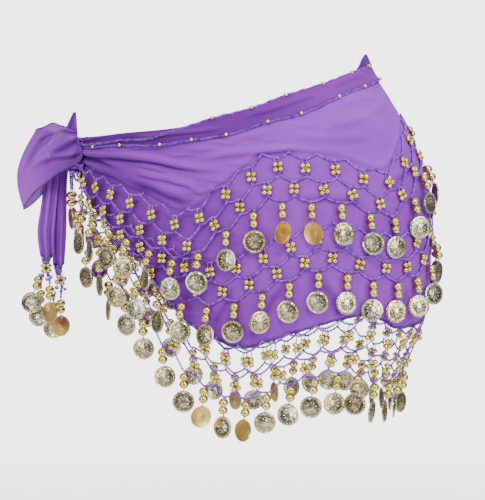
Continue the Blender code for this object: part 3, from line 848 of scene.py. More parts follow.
@dataclass(frozen=True)
class BeadSizes:
    """Sizes of the beads and of a bead flower."""

    small: float = 2.7 * MM
    large: float = 4.4 * MM
    flatness: float = 0.88
    dimple: float = 0.86

    def bead(self, segments: int, rings: int) -> Master:
        """A round bead of radius one with a dimple at each end of its hole.

        Args:
            segments: Sides round it.
            rings: Rings between its ends.

        Returns:
            The bead, its hole upright.
        """
        bpy.ops.object.select_all(action="DESELECT")
        bpy.ops.mesh.primitive_uv_sphere_add(segments=segments, ring_count=rings, radius=1.0)
        made = bpy.context.object
        bpy.ops.object.mode_set(mode="EDIT")
        bpy.ops.mesh.select_mode(type="VERT")
        bpy.ops.mesh.select_all(action="DESELECT")
        bpy.ops.object.mode_set(mode="OBJECT")
        for point in made.data.vertices:
            point.select = abs(point.co.z) > 0.99
        bpy.ops.object.mode_set(mode="EDIT")
        bpy.ops.transform.resize(value=(1.0, 1.0, self.dimple), center_override=(0.0, 0.0, 0.0))
        bpy.ops.mesh.select_all(action="SELECT")
        bpy.ops.transform.resize(value=(1.0, 1.0, self.flatness), center_override=(0.0, 0.0, 0.0))
        bpy.ops.object.mode_set(mode="OBJECT")
        return Master.taken_from(made, lambda points: ease(0.3, 0.15, np.hypot(points[:, 0], points[:, 1])))


@dataclass(frozen=True)
class CoinSizes:
    """Sizes of a pressed coin, its rings from the rim to the middle."""

    radius: float = 10.0 * MM
    thickness: float = 1.1 * MM
    sides: int = 20
    rim: float = 0.9 * MM
    recess: float = 0.22 * MM
    dot_ring: float = 1.7 * MM
    field_ring: float = 1.5 * MM
    petal_ring: float = 2.2 * MM
    dot: float = 0.3 * MM
    hole: float = 0.75 * MM
    hole_place: float = 8.0 * MM
    dome: float = 1.2 * MM
    field_age: float = 0.84

    def coin(self, pressed: bool) -> Master:
        """A coin that stands upright across X, with its rim and its hole.

        Args:
            pressed: Whether it has its ring of dots and its petals, or shows a plain, hollow back.

        Returns:
            The coin.
        """
        bpy.ops.object.select_all(action="DESELECT")
        bpy.ops.mesh.primitive_cylinder_add(vertices=self.sides, radius=self.radius, depth=self.thickness,
                                            rotation=(math.pi / 2, 0.0, 0.0))
        made = bpy.context.object
        bpy.ops.object.transform_apply(location=False, rotation=True, scale=False)
        choose_faces(made, lambda face: abs(face.normal.y) > 0.9)
        for width, depth in ((self.rim, 0.0), (0.25 * MM, -self.recess), (self.dot_ring, 0.0),
                             (self.field_ring, 0.0), (self.petal_ring, 0.0), (0.8 * MM, self.recess)):
            bpy.ops.mesh.inset(thickness=width, depth=depth, use_even_offset=True)
        bpy.ops.object.mode_set(mode="OBJECT")
        dots = self.radius - self.rim - 0.25 * MM - self.dot_ring / 2
        petals = dots - self.dot_ring / 2 - self.field_ring - self.petal_ring / 2

        def in_ring(face: bpy.types.MeshPolygon) -> bool:
            """Whether a face is in the ring of dots, or every other one in the ring of petals."""
            away = math.hypot(face.center.x, face.center.z)
            step = round(math.atan2(face.center.z, face.center.x) / (2 * math.pi) * self.sides - 0.5)
            level = abs(face.normal.y) > 0.9
            on_dot = abs(away - dots) < 0.4 * MM
            on_petal = abs(away - petals) < 0.5 * MM and step % 2 == 0
            return level and (on_dot or on_petal)

        if pressed:
            choose_faces(made, in_ring)
            bpy.ops.mesh.poke(offset=self.dot)
            bpy.ops.object.mode_set(mode="OBJECT")
        self.pierce(made)

        def in_hollow(points: np.ndarray) -> np.ndarray:
            """Age in the field, deepest beside the dots and the petals."""
            away = np.hypot(points[:, 0], points[:, 2])
            level = np.abs(points[:, 1]) < self.thickness / 2 - 0.8 * self.recess
            grooves = ((dots + self.dot_ring / 2, 0.8), (dots - self.dot_ring / 2, 0.6),
                       (petals + self.petal_ring / 2, 0.3), (petals - self.petal_ring / 2, 0.6))
            deepest = sum(deep * np.exp(-((away - at) / (0.2 * MM)) ** 2) for at, deep in grooves)
            return pressed * level * np.maximum(self.field_age, deepest)

        return Master.taken_from(made, in_hollow, self.dome if pressed else -0.8 * self.dome)

    def pierce(self, coin: bpy.types.Object) -> None:
        """Cuts the hole near the top of a coin."""
        bpy.ops.mesh.primitive_cylinder_add(vertices=8, radius=self.hole, depth=4 * self.thickness,
                                            location=(0.0, 0.0, self.hole_place),
                                            rotation=(math.pi / 2, 0.0, 0.0))
        punch = bpy.context.object
        select_only(coin)
        cut = coin.modifiers.new("hole", "BOOLEAN")
        cut.operation, cut.object, cut.solver = "DIFFERENCE", punch, "EXACT"
        bpy.ops.object.modifier_apply(modifier=cut.name)
        bpy.data.objects.remove(punch)


BEADS = BeadSizes()
COINS = CoinSizes()


def frame_at(place: np.ndarray, across: np.ndarray, up: np.ndarray, roll: float = 0.0,
             tip: float = 0.0) -> np.ndarray:
    """A 3 by 4 place for a stamp.

    Args:
        place: Where its middle stands.
        across: Its X direction.
        up: Roughly its Z direction.
        roll: Turn in its own plane, in radians.
        tip: Lean out of its plane, in radians.

    Returns:
        The columns of its turn, then its place.
    """
    x = unit(np.asarray(across, float))
    y = unit(np.cross(np.asarray(up, float), x))
    z = np.cross(x, y)
    turned_x, turned_z = (x * math.cos(roll) + z * math.sin(roll), z * math.cos(roll) - x * math.sin(roll))
    leaned_y = y * math.cos(tip) + turned_z * math.sin(tip)
    leaned_z = turned_z * math.cos(tip) - y * math.sin(tip)
    return np.column_stack([turned_x, leaned_y, leaned_z, place])


def resampled(path: np.ndarray, step: float) -> np.ndarray:
    """A path's points at even spacing."""
    reached = np.concatenate([[0.0], np.cumsum(np.linalg.norm(np.diff(path, axis=0), axis=1))])
    at = np.linspace(0.0, reached[-1], max(3, round(reached[-1] / step) + 1))
    return np.stack([np.interp(at, reached, path[:, k]) for k in range(3)], axis=-1)


@dataclass(frozen=True)
class CrochetChain:
    """Chain stitches: two strands of yarn wound about each other, in millimetre sizes."""

    strand: float = 0.53 * MM
    spread: float = 0.63 * MM
    stitch: float = 4.0 * MM
    step: float = 0.72 * MM

    def work(self, pile: Pile, path: np.ndarray, outward: np.ndarray, rng: np.random.Generator,
             size: float = 1.0) -> None:
        """Adds a chain along a path.

        Args:
            pile: Where it goes.
            path: Points that it follows.
            outward: A direction across the path for each point.
            rng: Source of its unevenness.
            size: Factor for its thickness.
        """
        fine = resampled(path, self.step)
        at = np.linspace(0, len(path) - 1, len(fine)).round().astype(int)
        facing = np.broadcast_to(outward, path.shape)[at]
        ahead = unit(np.gradient(fine, axis=0))
        across = unit(np.cross(ahead, facing))
        over = np.cross(across, ahead)
        wander = np.cumsum(rng.normal(0.0, 0.10, len(fine)))
        phase = 2 * math.pi * np.arange(len(fine)) * self.step / self.stitch + wander
        lump = 1.0 + 0.24 * np.sin(2 * phase) + rng.normal(0.0, 0.08, len(fine))
        for turn in (0.0, math.pi):
            # Painted light and shade: each strand is lighter where it lies outward and darker where it passes
            # beneath, with some random tone
            lifted = np.sin(phase + turn) * np.sign((over * facing).sum(axis=1))
            strand = fine + size * self.spread * (np.cos(phase + turn)[:, None] * across
                                                  + 0.7 * np.sin(phase + turn)[:, None] * over)
            tone_and_shade = (0.38 + 0.38 * lifted + rng.normal(0.0, 0.16, len(fine))).clip(0.0, 1.0)
            pile.tube(strand, size * self.strand * lump, 4, facing, tone_and_shade)


CHAIN = CrochetChain()


@dataclass(frozen=True)
class NetTier:
    """One tier of crochet net with bead flowers and its coin fringe; drops in mm."""

    name: str
    line: Curve
    end: float
    columns: int
    drop_1: float
    drop_2: float
    out: float
    lift: float
    clear: float
    near_knot: float
    seed: int
    zigzag: float = 5.0 * MM
    seam: float = 0.3 * MM
    cord: float = 1.4 * MM
    legs: float = 1.8 * MM
    bead_depths: tuple[float, float] = (5.0 * MM, 11.9 * MM)
    coin_depth: float = 27.6 * MM

    def places(self, side: Side) -> np.ndarray:
        """Lengths along the ring of a half's knots, from the middle outward."""
        pitch = abs(float(HIPS.along_at(side.value * self.end))) / self.columns
        return side.value * np.maximum(np.arange(2 * self.columns + 1) * pitch / 2, self.seam / 2)

    def is_valley(self, row: int, step: int) -> bool:
        """Whether a knot hangs low: odd steps in the outer rows, even ones between."""
        return step % 2 == (0 if row == 1 else 1)

    def knots(self, side: Side, rng: np.random.Generator) -> np.ndarray:
        """Lengths along and heights of the three rows' knots, a little uneven.

        Args:
            side: The half.
            rng: Source of the unevenness.

        Returns:
            An array of 3 rows, the steps, and the two numbers.
        """
        places = self.places(side)
        drops = (0.0, self.drop_1 * MM, (self.drop_1 + self.drop_2) * MM)
        base = self.line(HIPS.degrees(places))
        made = np.zeros((3, len(places), 2))
        for row, drop in enumerate(drops):
            low = np.array([self.is_valley(row, step) for step in range(len(places))])
            made[row, :, 0] = places + rng.normal(0.0, 0.45 * MM, len(places)).clip(-0.9 * MM, 0.9 * MM)
            made[row, :, 1] = (base - drop + np.where(low, -1, 1) * self.zigzag / 2
                               + rng.uniform(-0.6 * MM, 0.6 * MM, len(places)))
            made[row, 0] = places[0], base[0] - drop + (-1 if low[0] else 1) * self.zigzag / 2
        return made

    def out_at(self, along: np.ndarray | float) -> np.ndarray:
        """Distance out of the middle of the cords."""
        return self.out * MM + self.cord / 2 + self.lift * MM * HIPS.crowding(along)

    def row_path(self, row: int, knots: np.ndarray) -> np.ndarray:
        """The line of a row: pointed at its peaks, flat where a flower hangs from it.

        Args:
            row: 0 along the wrap, 1 and 2 below it.
            knots: The row's knots.

        Returns:
            Lengths along and heights of its points.
        """
        way = np.sign(knots[-1, 0])
        corners: list[tuple[float, float]] = []
        for step, (along, height) in enumerate(knots):
            if self.is_valley(row, step) and 0 < step < len(knots) - 1:
                corners += [(along - way * self.legs, height), (along + way * self.legs, height)]
            else:
                corners.append((along, height))
        path: list[tuple[float, float]] = []
        for (a, high), (b, low) in zip(corners, corners[1:]):
            for t in np.linspace(0.0, 1.0, 7)[:-1]:
                sag = 0.8 * MM * math.sin(math.pi * t) * min(1.0, abs(b - a) / (6 * MM))
                path.append((a + (b - a) * t, high + (low - high) * t - sag))
        path.append(corners[-1])
        return np.array(path)

    def tie_flower(self, beads: Pile, cords: Pile, flower: Sequence[tuple[float, float]], bead: Master,
                   upper: np.ndarray, lower: np.ndarray, rng: np.random.Generator) -> None:
        """Hangs four beads, round a small one darkened with grime and painted shade, on two threads from a
        valley to a peak.

        Args:
            beads: Where the beads go.
            cords: Where the threads go.
            flower: Places of the four beads in the flower, sideways and up.
            bead: The bead.
            upper: The valley's length along and height.
            lower: The peak's length along and height.
            rng: Source of the unevenness.
        """
        centre = lower + (upper - lower) * 0.02
        centre[1] = lower[1] + 0.46 * (upper[1] - lower[1])
        out = float(self.out_at(centre[0])) + 1.35 * MM
        middle = HIPS.point(centre[0], centre[1], out)[0]
        facing = HIPS.outward(centre[0], centre[1])[0]
        rise = (HIPS.point(*upper, out) - HIPS.point(*lower, out))[0]
        across = np.cross(rise, facing)
        roll = rng.normal(0.0, 0.22)
        where = frame_at(middle, -across, rise, roll, rng.normal(0.0, 0.12))
        spots = [where[:, :3] @ np.array([x, 0.0, z]) + middle for x, z in flower]
        tone_and_shade = rng.uniform(0.3, 0.9)
        for spot in spots:
            seat = where.copy()
            seat[:, 3] = spot
            beads.stamp(bead, seat, BEADS.small, float(np.clip(tone_and_shade + rng.normal(0.0, 0.1), 0.0, 1.0)))
        # The small middle bead: dark thread and painted shade, from a low tone and a heavy mark
        beads.add(bead.points * 0.5 * BEADS.small @ where[:, :3].T + middle, bead.faces, 0.0, 0.9)
        for sign, (top, low) in ((-1, (0, 2)), (1, (1, 3))):
            way = math.copysign(1.0, float((spots[1] - spots[0]) @ self.tangent(upper)))
            start = HIPS.point(upper[0] + sign * way * self.legs, upper[1], self.out_at(upper[0]))[0]
            end = HIPS.point(*lower, self.out_at(lower[0]))[0]
            path = resampled(np.array([start, spots[top], spots[low], end]), 1.6 * MM)
            cords.tube(path, 0.52 * MM, 4, facing, 0.7)

    @staticmethod
    def tangent(at: np.ndarray) -> np.ndarray:
        """Direction along the ring at a place."""
        return (HIPS.point(at[0] + MM, at[1]) - HIPS.point(at[0], at[1]))[0]

    def hang_coin(self, piles: "FringePiles", masters: "Masters", root: np.ndarray, turn: float,
                  rng: np.random.Generator) -> None:
        """Hangs two round beads and a coin from a valley of the last row.

        Args:
            piles: Where the parts go.
            masters: The bead and the coin.
            root: The valley's length along and height.
            turn: The coin's turn about the upright, in degrees.
            rng: Source of the unevenness.
        """
        along, height = root
        crowd = float(HIPS.crowding(along))
        clear = (self.clear + self.near_knot * crowd) * MM
        coin_out = clear + COINS.radius * abs(math.sin(math.radians(turn)))
        root_out = (self.out + self.lift * crowd) * MM + 3.4 * MM
        bead_out = max(root_out, min(coin_out, clear + 3.1 * MM))

        def hung(depth: float) -> np.ndarray:
            """Place on the strand at a depth under its root."""
            out = (root_out + (bead_out - root_out) * float(ease(0.0, 12.0 * MM, depth))
                   + (coin_out - bead_out) * float(ease(12.0 * MM, 18.0 * MM, depth)))
            flat = HIPS.point(along, height - depth, out)[0]
            return np.array([flat[0], flat[1], height - depth])

        facing = HIPS.outward(along, height)[0]
        level = np.array([-facing[1], facing[0], 0.0])
        start = HIPS.point(along, height, self.out_at(along))[0]
        hang_strand(piles, masters, start, hung, facing, level, turn, rng, self.bead_depths, self.coin_depth)

    def build(self, side: Side, masters: "Masters", finishes: Finishes) -> None:
        """Makes and dresses the tier's half.

        Args:
            side: The half.
            masters: The beads and the coin.
            finishes: The materials.
        """
        rng = np.random.default_rng(self.seed + side.value)
        knots = self.knots(side, rng)
        piles, flowers = FringePiles(), Pile()
        cords = piles.threads
        gap = 2.4 * MM
        flower = ((-gap, gap), (gap, gap), (-gap, -gap), (gap, -gap))
        last = len(knots[0]) - 1
        for row in range(3):
            path = self.row_path(row, knots[row])
            out = self.out_at(path[:, 0])
            CHAIN.work(cords, HIPS.point(path[:, 0], path[:, 1], out),
                       HIPS.outward(path[:, 0], path[:, 1]), rng)
            for step in range(1, last):
                along, height = knots[row, step]
                seat = frame_at(HIPS.point(along, height, self.out_at(along))[0],
                                self.tangent(knots[row, step]), UP)
                cords.stamp(masters.lump, seat, rng.uniform(0.95, 1.2) * MM, rng.uniform(0.3, 0.8))
                if row == 0 and not self.is_valley(row, step):
                    self.leave_tail(cords, knots[row, step], rng)
        for step in range(1, last):
            upper, lower = (0, 1) if step % 2 else (1, 2)
            self.tie_flower(flowers, cords, flower, masters.small_bead, knots[upper, step],
                            knots[lower, step], rng)
        turns = COIN_TURNS[self.name]
        for number, step in enumerate(range(1, last, 2)):
            turn = turns[number] * (1.0 if side is Side.FRONT else -0.8)
            self.hang_coin(piles, masters, knots[2, step], turn, rng)
        name, label = self.name, side.label
        dress(cords.piece(f"crochet_{name}_{label}"), finishes.yarn, Slot.CORD, (f"net_{name}_{label}",))
        dress(flowers.piece(f"bead_flowers_{name}_{label}"), finishes.bead, Slot.BEAD)
        dress(piles.beads.piece(f"fringe_beads_{name}_{label}"), finishes.bead, Slot.BEAD)
        coins = piles.coins.piece(f"fringe_coins_{name}_{label}")
        select_only(coins)
        bpy.ops.object.shade_smooth_by_angle(angle=math.radians(24.0))
        dress(coins, finishes.coin, Slot.COIN, (f"coins_{name}_{label}",))

    def leave_tail(self, cords: Pile, knot: np.ndarray, rng: np.random.Generator) -> None:
        """Leaves a short end of yarn over a peak of the first row."""
        if rng.uniform() < 0.45:
            return
        lean, long = rng.normal(0.0, 0.8 * MM), rng.uniform(1.6, 3.4) * MM
        along = knot[0] + np.array([0.0, 0.3 * lean, lean])
        height = knot[1] + np.array([0.0, 0.6 * long, long])
        path = HIPS.point(along, height, self.out * MM + 0.75 * MM)
        cords.tube(path, np.array([0.6, 0.5, 0.3]) * MM, 4, HIPS.outward(along, height), 0.8)


@dataclass
class FringePiles:
    """The parts of coin strands: their threads, their round beads and their coins."""

    threads: Pile = field(default_factory=Pile)
    beads: Pile = field(default_factory=Pile)
    coins: Pile = field(default_factory=Pile)


@dataclass(frozen=True)
class Masters:
    """The shapes that repeat all over the scarf."""

    small_bead: Master
    large_bead: Master
    lump: Master
    coin: Master
    coin_back: Master

    @classmethod
    def modelled(cls) -> "Masters":
        """Models each of them once."""
        return cls(BEADS.bead(8, 6), BEADS.bead(14, 9), BEADS.bead(6, 4), COINS.coin(True), COINS.coin(False))


def hang_strand(piles: FringePiles, masters: Masters, start: np.ndarray,
                hung: Callable[[float], np.ndarray], facing: np.ndarray, level: np.ndarray, turn: float,
                rng: np.random.Generator, bead_depths: tuple[float, float], coin_depth: float) -> None:
    """Hangs two round beads and a coin on their thread.

    Args:
        piles: Where the parts go.
        masters: The shapes.
        start: Where the thread begins.
        hung: Gives the middle of the strand at a depth below its root.
        facing: Level direction away from the wearer.
        level: Level direction along the fringe.
        turn: The coin's turn about the upright, in degrees.
        rng: Source of the unevenness.
        bead_depths: Depths of the two beads' middles.
        coin_depth: Depth of the coin's middle.
    """
    beads = [hung(depth) for depth in bead_depths]
    tone_and_shade = rng.uniform(0.35, 0.9)
    for bead in beads:
        seat = frame_at(bead, level, UP, rng.normal(0.0, 0.1), rng.normal(0.0, 0.1))
        piles.beads.stamp(masters.large_bead, seat, BEADS.large * rng.uniform(0.95, 1.03), float(tone_and_shade))
    angle = math.radians(turn)
    across = level * math.cos(angle) + facing * -math.sin(angle)
    middle = hung(coin_depth)
    coppery = abs(turn) > 36
    shown = frame_at(middle, across, UP, rng.normal(0.0, 0.08),
                     np.clip(rng.normal(0.0, 0.07), -0.13, 0.13))
    if coppery:
        piles.coins.stamp(masters.coin_back, shown, 1.0, rng.uniform(0.0, 0.3))
    else:
        piles.coins.stamp(masters.coin, shown, 1.0, rng.uniform(0.55, 1.0))
    hole = shown[:, :3] @ np.array([0.0, 0.0, COINS.hole_place]) + middle
    through = shown[:, 1] * 0.95 * MM
    above = beads[1] - np.array([0.0, 0.0, 2.4 * MM])
    loop = np.array([start, beads[0], above, hole + through, hole - 0.4 * through - shown[:, 2] * 0.3 * MM,
                     hole - through, above])
    piles.threads.tube(resampled(loop, 0.9 * MM), 0.36 * MM, 4, level, 0.55)


FRONT_CREASES = tuple(Crease(on_ring(Side.FRONT, path), depth, width, ridge, fades)
                      for path, depth, width, ridge, fades in (
    (((176, -42), (154, -44), (136, -45), (126, -47), (120, -49), (113, -53), (105, -56), (94, -57)),
     2.2, 2.2, 0.7, (0.02, 0.3)),
    (((132, -58), (123, -63), (118, -65), (113, -68), (110, -70), (107, -74), (104, -80)),
     1.5, 2.0, 0.6, (0.25, 0.3)),
    (((134, -66), (123, -73), (118, -79), (112, -84), (106, -82)), 2.0, 4.6, 0.3, (0.3, 0.3)),
    (((107, -47), (102, -46), (97, -43), (89, -41), (83, -40), (76, -38), (66, -36)),
     1.2, 2.2, 0.6, (0.3, 0.3)),
    (((111, -38), (104, -38), (97, -37)), 0.8, 1.6, 0.6, (0.4, 0.4)),
    (((172, -44), (153, -47), (147, -49), (140, -53), (132, -59)), 1.6, 2.2, 0.5, (0.05, 0.4)),
    (((174, -38), (147, -38), (135, -40), (124, -41)), 1.0, 1.8, 0.5, (0.05, 0.4)),
    (((66, -21), (59, -19), (52, -16), (44, -12), (34, -9)), 0.6, 3.0, 0.6, (0.3, 0.3)),
    (((76, -28), (62, -29), (52, -29), (38, -26)), 0.6, 3.2, 0.6, (0.3, 0.3)),
    (((52, 1), (41, 5), (30, 8), (20, 9)), 0.6, 3.6, 0.5, (0.3, 0.3)),
    (((36, -6), (24, 0), (12, 6)), 0.5, 3.0, 0.5, (0.3, 0.3)),
    (((96, -30), (86, -26), (78, -22)), 0.5, 2.0, 0.5, (0.3, 0.3)),
    (((134, -36), (128, -37), (120, -36), (113, -34)), 0.8, 1.0, 0.7, (0.3, 0.4)),
    (((118, -43), (111, -43), (104, -41)), 0.7, 1.1, 0.7, (0.4, 0.4)),
    (((102, -30), (95, -32), (88, -30)), 0.7, 1.2, 0.7, (0.3, 0.4)),
    (((90, -26), (82, -29), (75, -30)), 0.5, 1.3, 0.6, (0.4, 0.4)),
    (((130, -51), (122, -55), (115, -59)), 0.7, 1.2, 0.7, (0.3, 0.4)),
    (((112, -76), (105, -76), (99, -71)), 0.8, 1.5, 0.6, (0.3, 0.4)),
    (((108, -62), (101, -65), (96, -66)), 0.7, 1.3, 0.6, (0.3, 0.4)),
    (((98, -50), (91, -51), (84, -49)), 0.6, 1.4, 0.6, (0.4, 0.4)),
    (((74, -14), (67, -17), (60, -16)), 0.4, 1.4, 0.6, (0.4, 0.4)),
    (((90, -204), (87, -188), (84, -170), (78, -150)), 1.4, 4.0, 0.2, (0.1, 0.4)),
    (((102, -192), (98, -172), (95, -152)), 1.0, 3.4, 0.2, (0.1, 0.4)),
    (((60, -182), (64, -166), (70, -150), (74, -142)), 1.2, 3.6, 0.2, (0.1, 0.4)),
    (((36, -190), (33, -172), (31, -154)), 1.2, 3.8, 0.2, (0.1, 0.4)),
    (((16, -188), (18, -168), (22, -148)), 0.8, 3.2, 0.2, (0.1, 0.4)),
    (((80, -84), (70, -80), (58, -82), (48, -88)), 1.0, 3.6, 0.2, (0.3, 0.3)),
    (((46, -70), (36, -66), (26, -56), (18, -42)), 1.0, 3.0, 0.2, (0.3, 0.3)),
))
BACK_CREASES = tuple(Crease(on_ring(Side.BACK, path), depth, width, ridge, fades)
                     for path, depth, width, ridge, fades in (
    (((176, -42), (158, -43), (141, -46), (130, -49), (121, -53), (112, -60), (103, -63)),
     2.0, 2.3, 0.7, (0.02, 0.3)),
    (((140, -53), (130, -58), (122, -63), (115, -69), (109, -77)), 1.5, 2.0, 0.6, (0.2, 0.3)),
    (((128, -70), (121, -76), (113, -84), (104, -78)), 1.8, 4.2, 0.3, (0.3, 0.3)),
    (((104, -44), (96, -46), (88, -43), (78, -41), (70, -38)), 1.2, 2.3, 0.6, (0.3, 0.3)),
    (((174, -38), (150, -39), (133, -42)), 1.0, 1.9, 0.5, (0.05, 0.4)),
    (((94, -33), (83, -30), (74, -24)), 0.8, 2.0, 0.5, (0.3, 0.3)),
    (((131, -37), (124, -38), (116, -36)), 0.8, 1.1, 0.7, (0.3, 0.4)),
    (((115, -44), (108, -45), (100, -42)), 0.7, 1.2, 0.7, (0.4, 0.4)),
    (((127, -53), (119, -57), (113, -60)), 0.7, 1.2, 0.7, (0.3, 0.4)),
    (((110, -70), (104, -71), (97, -67)), 0.8, 1.5, 0.6, (0.3, 0.4)),
    (((97, -55), (90, -57), (82, -54)), 0.6, 1.4, 0.6, (0.4, 0.4)),
    (((70, -18), (58, -20), (47, -17), (38, -9)), 0.7, 3.0, 0.6, (0.3, 0.3)),
    (((50, -2), (38, 2), (27, 10)), 0.6, 3.4, 0.5, (0.3, 0.3)),
    (((20, 8), (12, 24), (8, 42)), 1.0, 3.0, 0.5, (0.3, 0.3)),
    (((92, -202), (90, -184), (86, -166), (83, -154)), 1.3, 4.2, 0.2, (0.1, 0.4)),
    (((104, -190), (99, -172), (94, -158)), 0.9, 3.2, 0.2, (0.1, 0.4)),
    (((57, -181), (62, -164), (66, -148)), 1.3, 3.6, 0.2, (0.1, 0.4)),
    (((34, -192), (35, -176), (30, -158)), 1.0, 3.6, 0.2, (0.1, 0.4)),
    (((12, -188), (13, -170), (17, -152)), 1.1, 3.4, 0.2, (0.1, 0.4)),
    (((76, -82), (66, -84), (55, -80)), 0.9, 3.4, 0.2, (0.3, 0.3)),
    (((40, -62), (30, -60), (21, -48), (15, -30)), 1.0, 3.0, 0.2, (0.3, 0.3)),
))
FOLD_CREASES = (
    Crease(on_ring(Side.FRONT, ((130, -27), (122, -26.5), (115, -24), (109, -22.5), (103, -21), (94, -18))),
           1.0, 1.2, 0.8),
    Crease(on_ring(Side.FRONT, ((88, -9), (78, -3), (66, 6), (56, 12))), 0.6, 1.6, 0.6),
    Crease(on_ring(Side.FRONT, ((50, 18), (38, 25), (24, 31))), 0.5, 1.6, 0.6),
    Crease(on_ring(Side.FRONT, ((170, -30), (156, -29), (140, -26))), 1.0, 1.3, 0.7, (0.02, 0.4)),
    Crease(on_ring(Side.BACK, ((136, -27), (122, -25), (110, -21), (98, -16))), 1.0, 1.3, 0.8),
    Crease(on_ring(Side.BACK, ((84, -7), (72, 1), (58, 11))), 0.6, 1.6, 0.6),
    Crease(on_ring(Side.BACK, ((44, 21), (32, 27), (20, 33))), 0.6, 1.6, 0.6),
    Crease(on_ring(Side.BACK, ((168, -31), (154, -30), (142, -27))), 0.9, 1.3, 0.7, (0.02, 0.4)),
)


def hips_outward(points: np.ndarray) -> np.ndarray:
    """Directions away from the upright axis of the hips."""
    away = points.copy()
    away[:, 0] -= HIPS.shift(points[:, 2])
    away[:, 2] = 0.0
    return away


@dataclass(frozen=True)
class ChiffonWrap:
    """The chiffon wrap with its listed creases, and the turned fold at the waist."""

    columns: int = 420
    rows: int = 92
    fold_columns: int = 420
    fold_rows: int = 14
    end_gap: float = 3.0 * MM
    fold_gap: float = 0.5 * MM
    fold_share: float = 0.95
    wall: float = 1.1 * MM

    def along(self, share: np.ndarray) -> np.ndarray:
        """Length along the ring for a share of the wrap."""
        low, high = HIPS.ring[0] + self.end_gap, HIPS.ring[-1] - self.end_gap
        return low + (high - low) * share

    def lay_wrap(self, share: np.ndarray, down: np.ndarray) -> Laid:
        """Where the wrap's points lie.

        Args:
            share: Shares along it.
            down: Shares down it.

        Returns:
            The laid sheet.
        """
        along = self.along(share)
        turn = HIPS.degrees(along)
        top, hem = HIPS.top_edge(along), HIPS.hem(turn)
        height = top + (hem - top) * (0.62 * down + 0.38 * down**2.6)
        x, y = along / MM, height / MM
        folds = creased(FRONT_CREASES + BACK_CREASES, x, y)
        net = HIPS.net_top(turn)
        under_net = 1 - ease(0.0, 5.0 * MM, height - net)
        above = height - net - 2.4 * MM + 0.9 * MM * np.sin(x / 8.1)
        sewn = (-1.1 * np.exp(-(above / (1.5 * MM)) ** 2)
                + 0.9 * (0.6 + 0.4 * np.sin(x / 17.0)) * np.exp(-((above - 4.0 * MM) / (2.6 * MM)) ** 2))
        under_fold = ease(-2.0 * MM, 0.5 * MM, height - HIPS.fold_line(turn))
        most_out = 0.25 + 3.4 * (1 - under_net)
        deepest = -9.0 + 8.2 * ease(146.0, 162.0, turn)
        folds = np.maximum(np.minimum(1.5 * folds, most_out), deepest)
        folds = folds * (1 - under_fold) + sewn * (1 - under_fold)
        swell = 0.5 * np.sin(x / 31.0 + 1.3 * np.sin(y / 27.0)) * np.sin(y / 19.0 + 0.7 * np.sin(x / 44.0))
        folds += np.minimum(swell, 0.1) * (1 - under_fold)
        points = HIPS.point(along, height, HIPS.gather(along, height) + folds * MM)
        # Painted light and shade: lighter high up in front and on the ridges, darker in the creases, towards
        # the knot, under the nets and under the fold
        shade = (0.70 + 0.12 * ease(-40.0, 10.0, y) * (1 - ease(60.0, 120.0, turn))
                 + 0.17 * folds.clip(-2.6, 1.2) - 0.36 * ease(72.0, 165.0, turn) - 0.07 * under_net
                 - 0.30 * under_fold)
        return Laid(points, np.stack([along, height], axis=-1), shade.clip(0.0, 1.0))

    def lay_fold(self, share: np.ndarray, down: np.ndarray) -> Laid:
        """Where the waist fold's points lie.

        Args:
            share: Shares along it.
            down: Shares down it.

        Returns:
            The laid sheet.
        """
        along = self.along(share)
        turn = HIPS.degrees(along)
        top = HIPS.top_edge(along)
        height = top + (HIPS.fold_line(turn) - top) * self.fold_share * down
        x, y = along / MM, height / MM
        folds = 1.5 * creased(FOLD_CREASES, x, y) + 0.25 * np.sin(x / 23.0) * np.sin(math.pi * down)
        points = HIPS.point(along, height, HIPS.cloth + self.fold_gap + folds.clip(-0.3, 1.6) * MM)
        # Painted light and shade: lighter on the ridges and near the middle, darker in the creases and towards
        # the knot
        shade = 0.30 + 0.3 * folds.clip(-1.0, 1.0) + 0.36 * (1 - ease(40.0, 100.0, turn)) - 0.2 * ease(
            120.0, 175.0, turn)
        return Laid(points, np.stack([along, height + 0.3], axis=-1), shade.clip(0.0, 1.0))

    def build(self, finishes: Finishes) -> None:
        """Makes and dresses the wrap and its fold."""
        wrap = lay_sheet("chiffon_wrap", self.columns, self.rows, self.lay_wrap, hips_outward, self.wall)
        dress(wrap, finishes.wrap, Slot.CHIFFON, ("wrap",))
        fold = lay_sheet("chiffon_waist_fold", self.fold_columns, self.fold_rows, self.lay_fold,
                         hips_outward, 0.9 * MM)
        dress(fold, finishes.double, Slot.CHIFFON, ("waist_fold",))


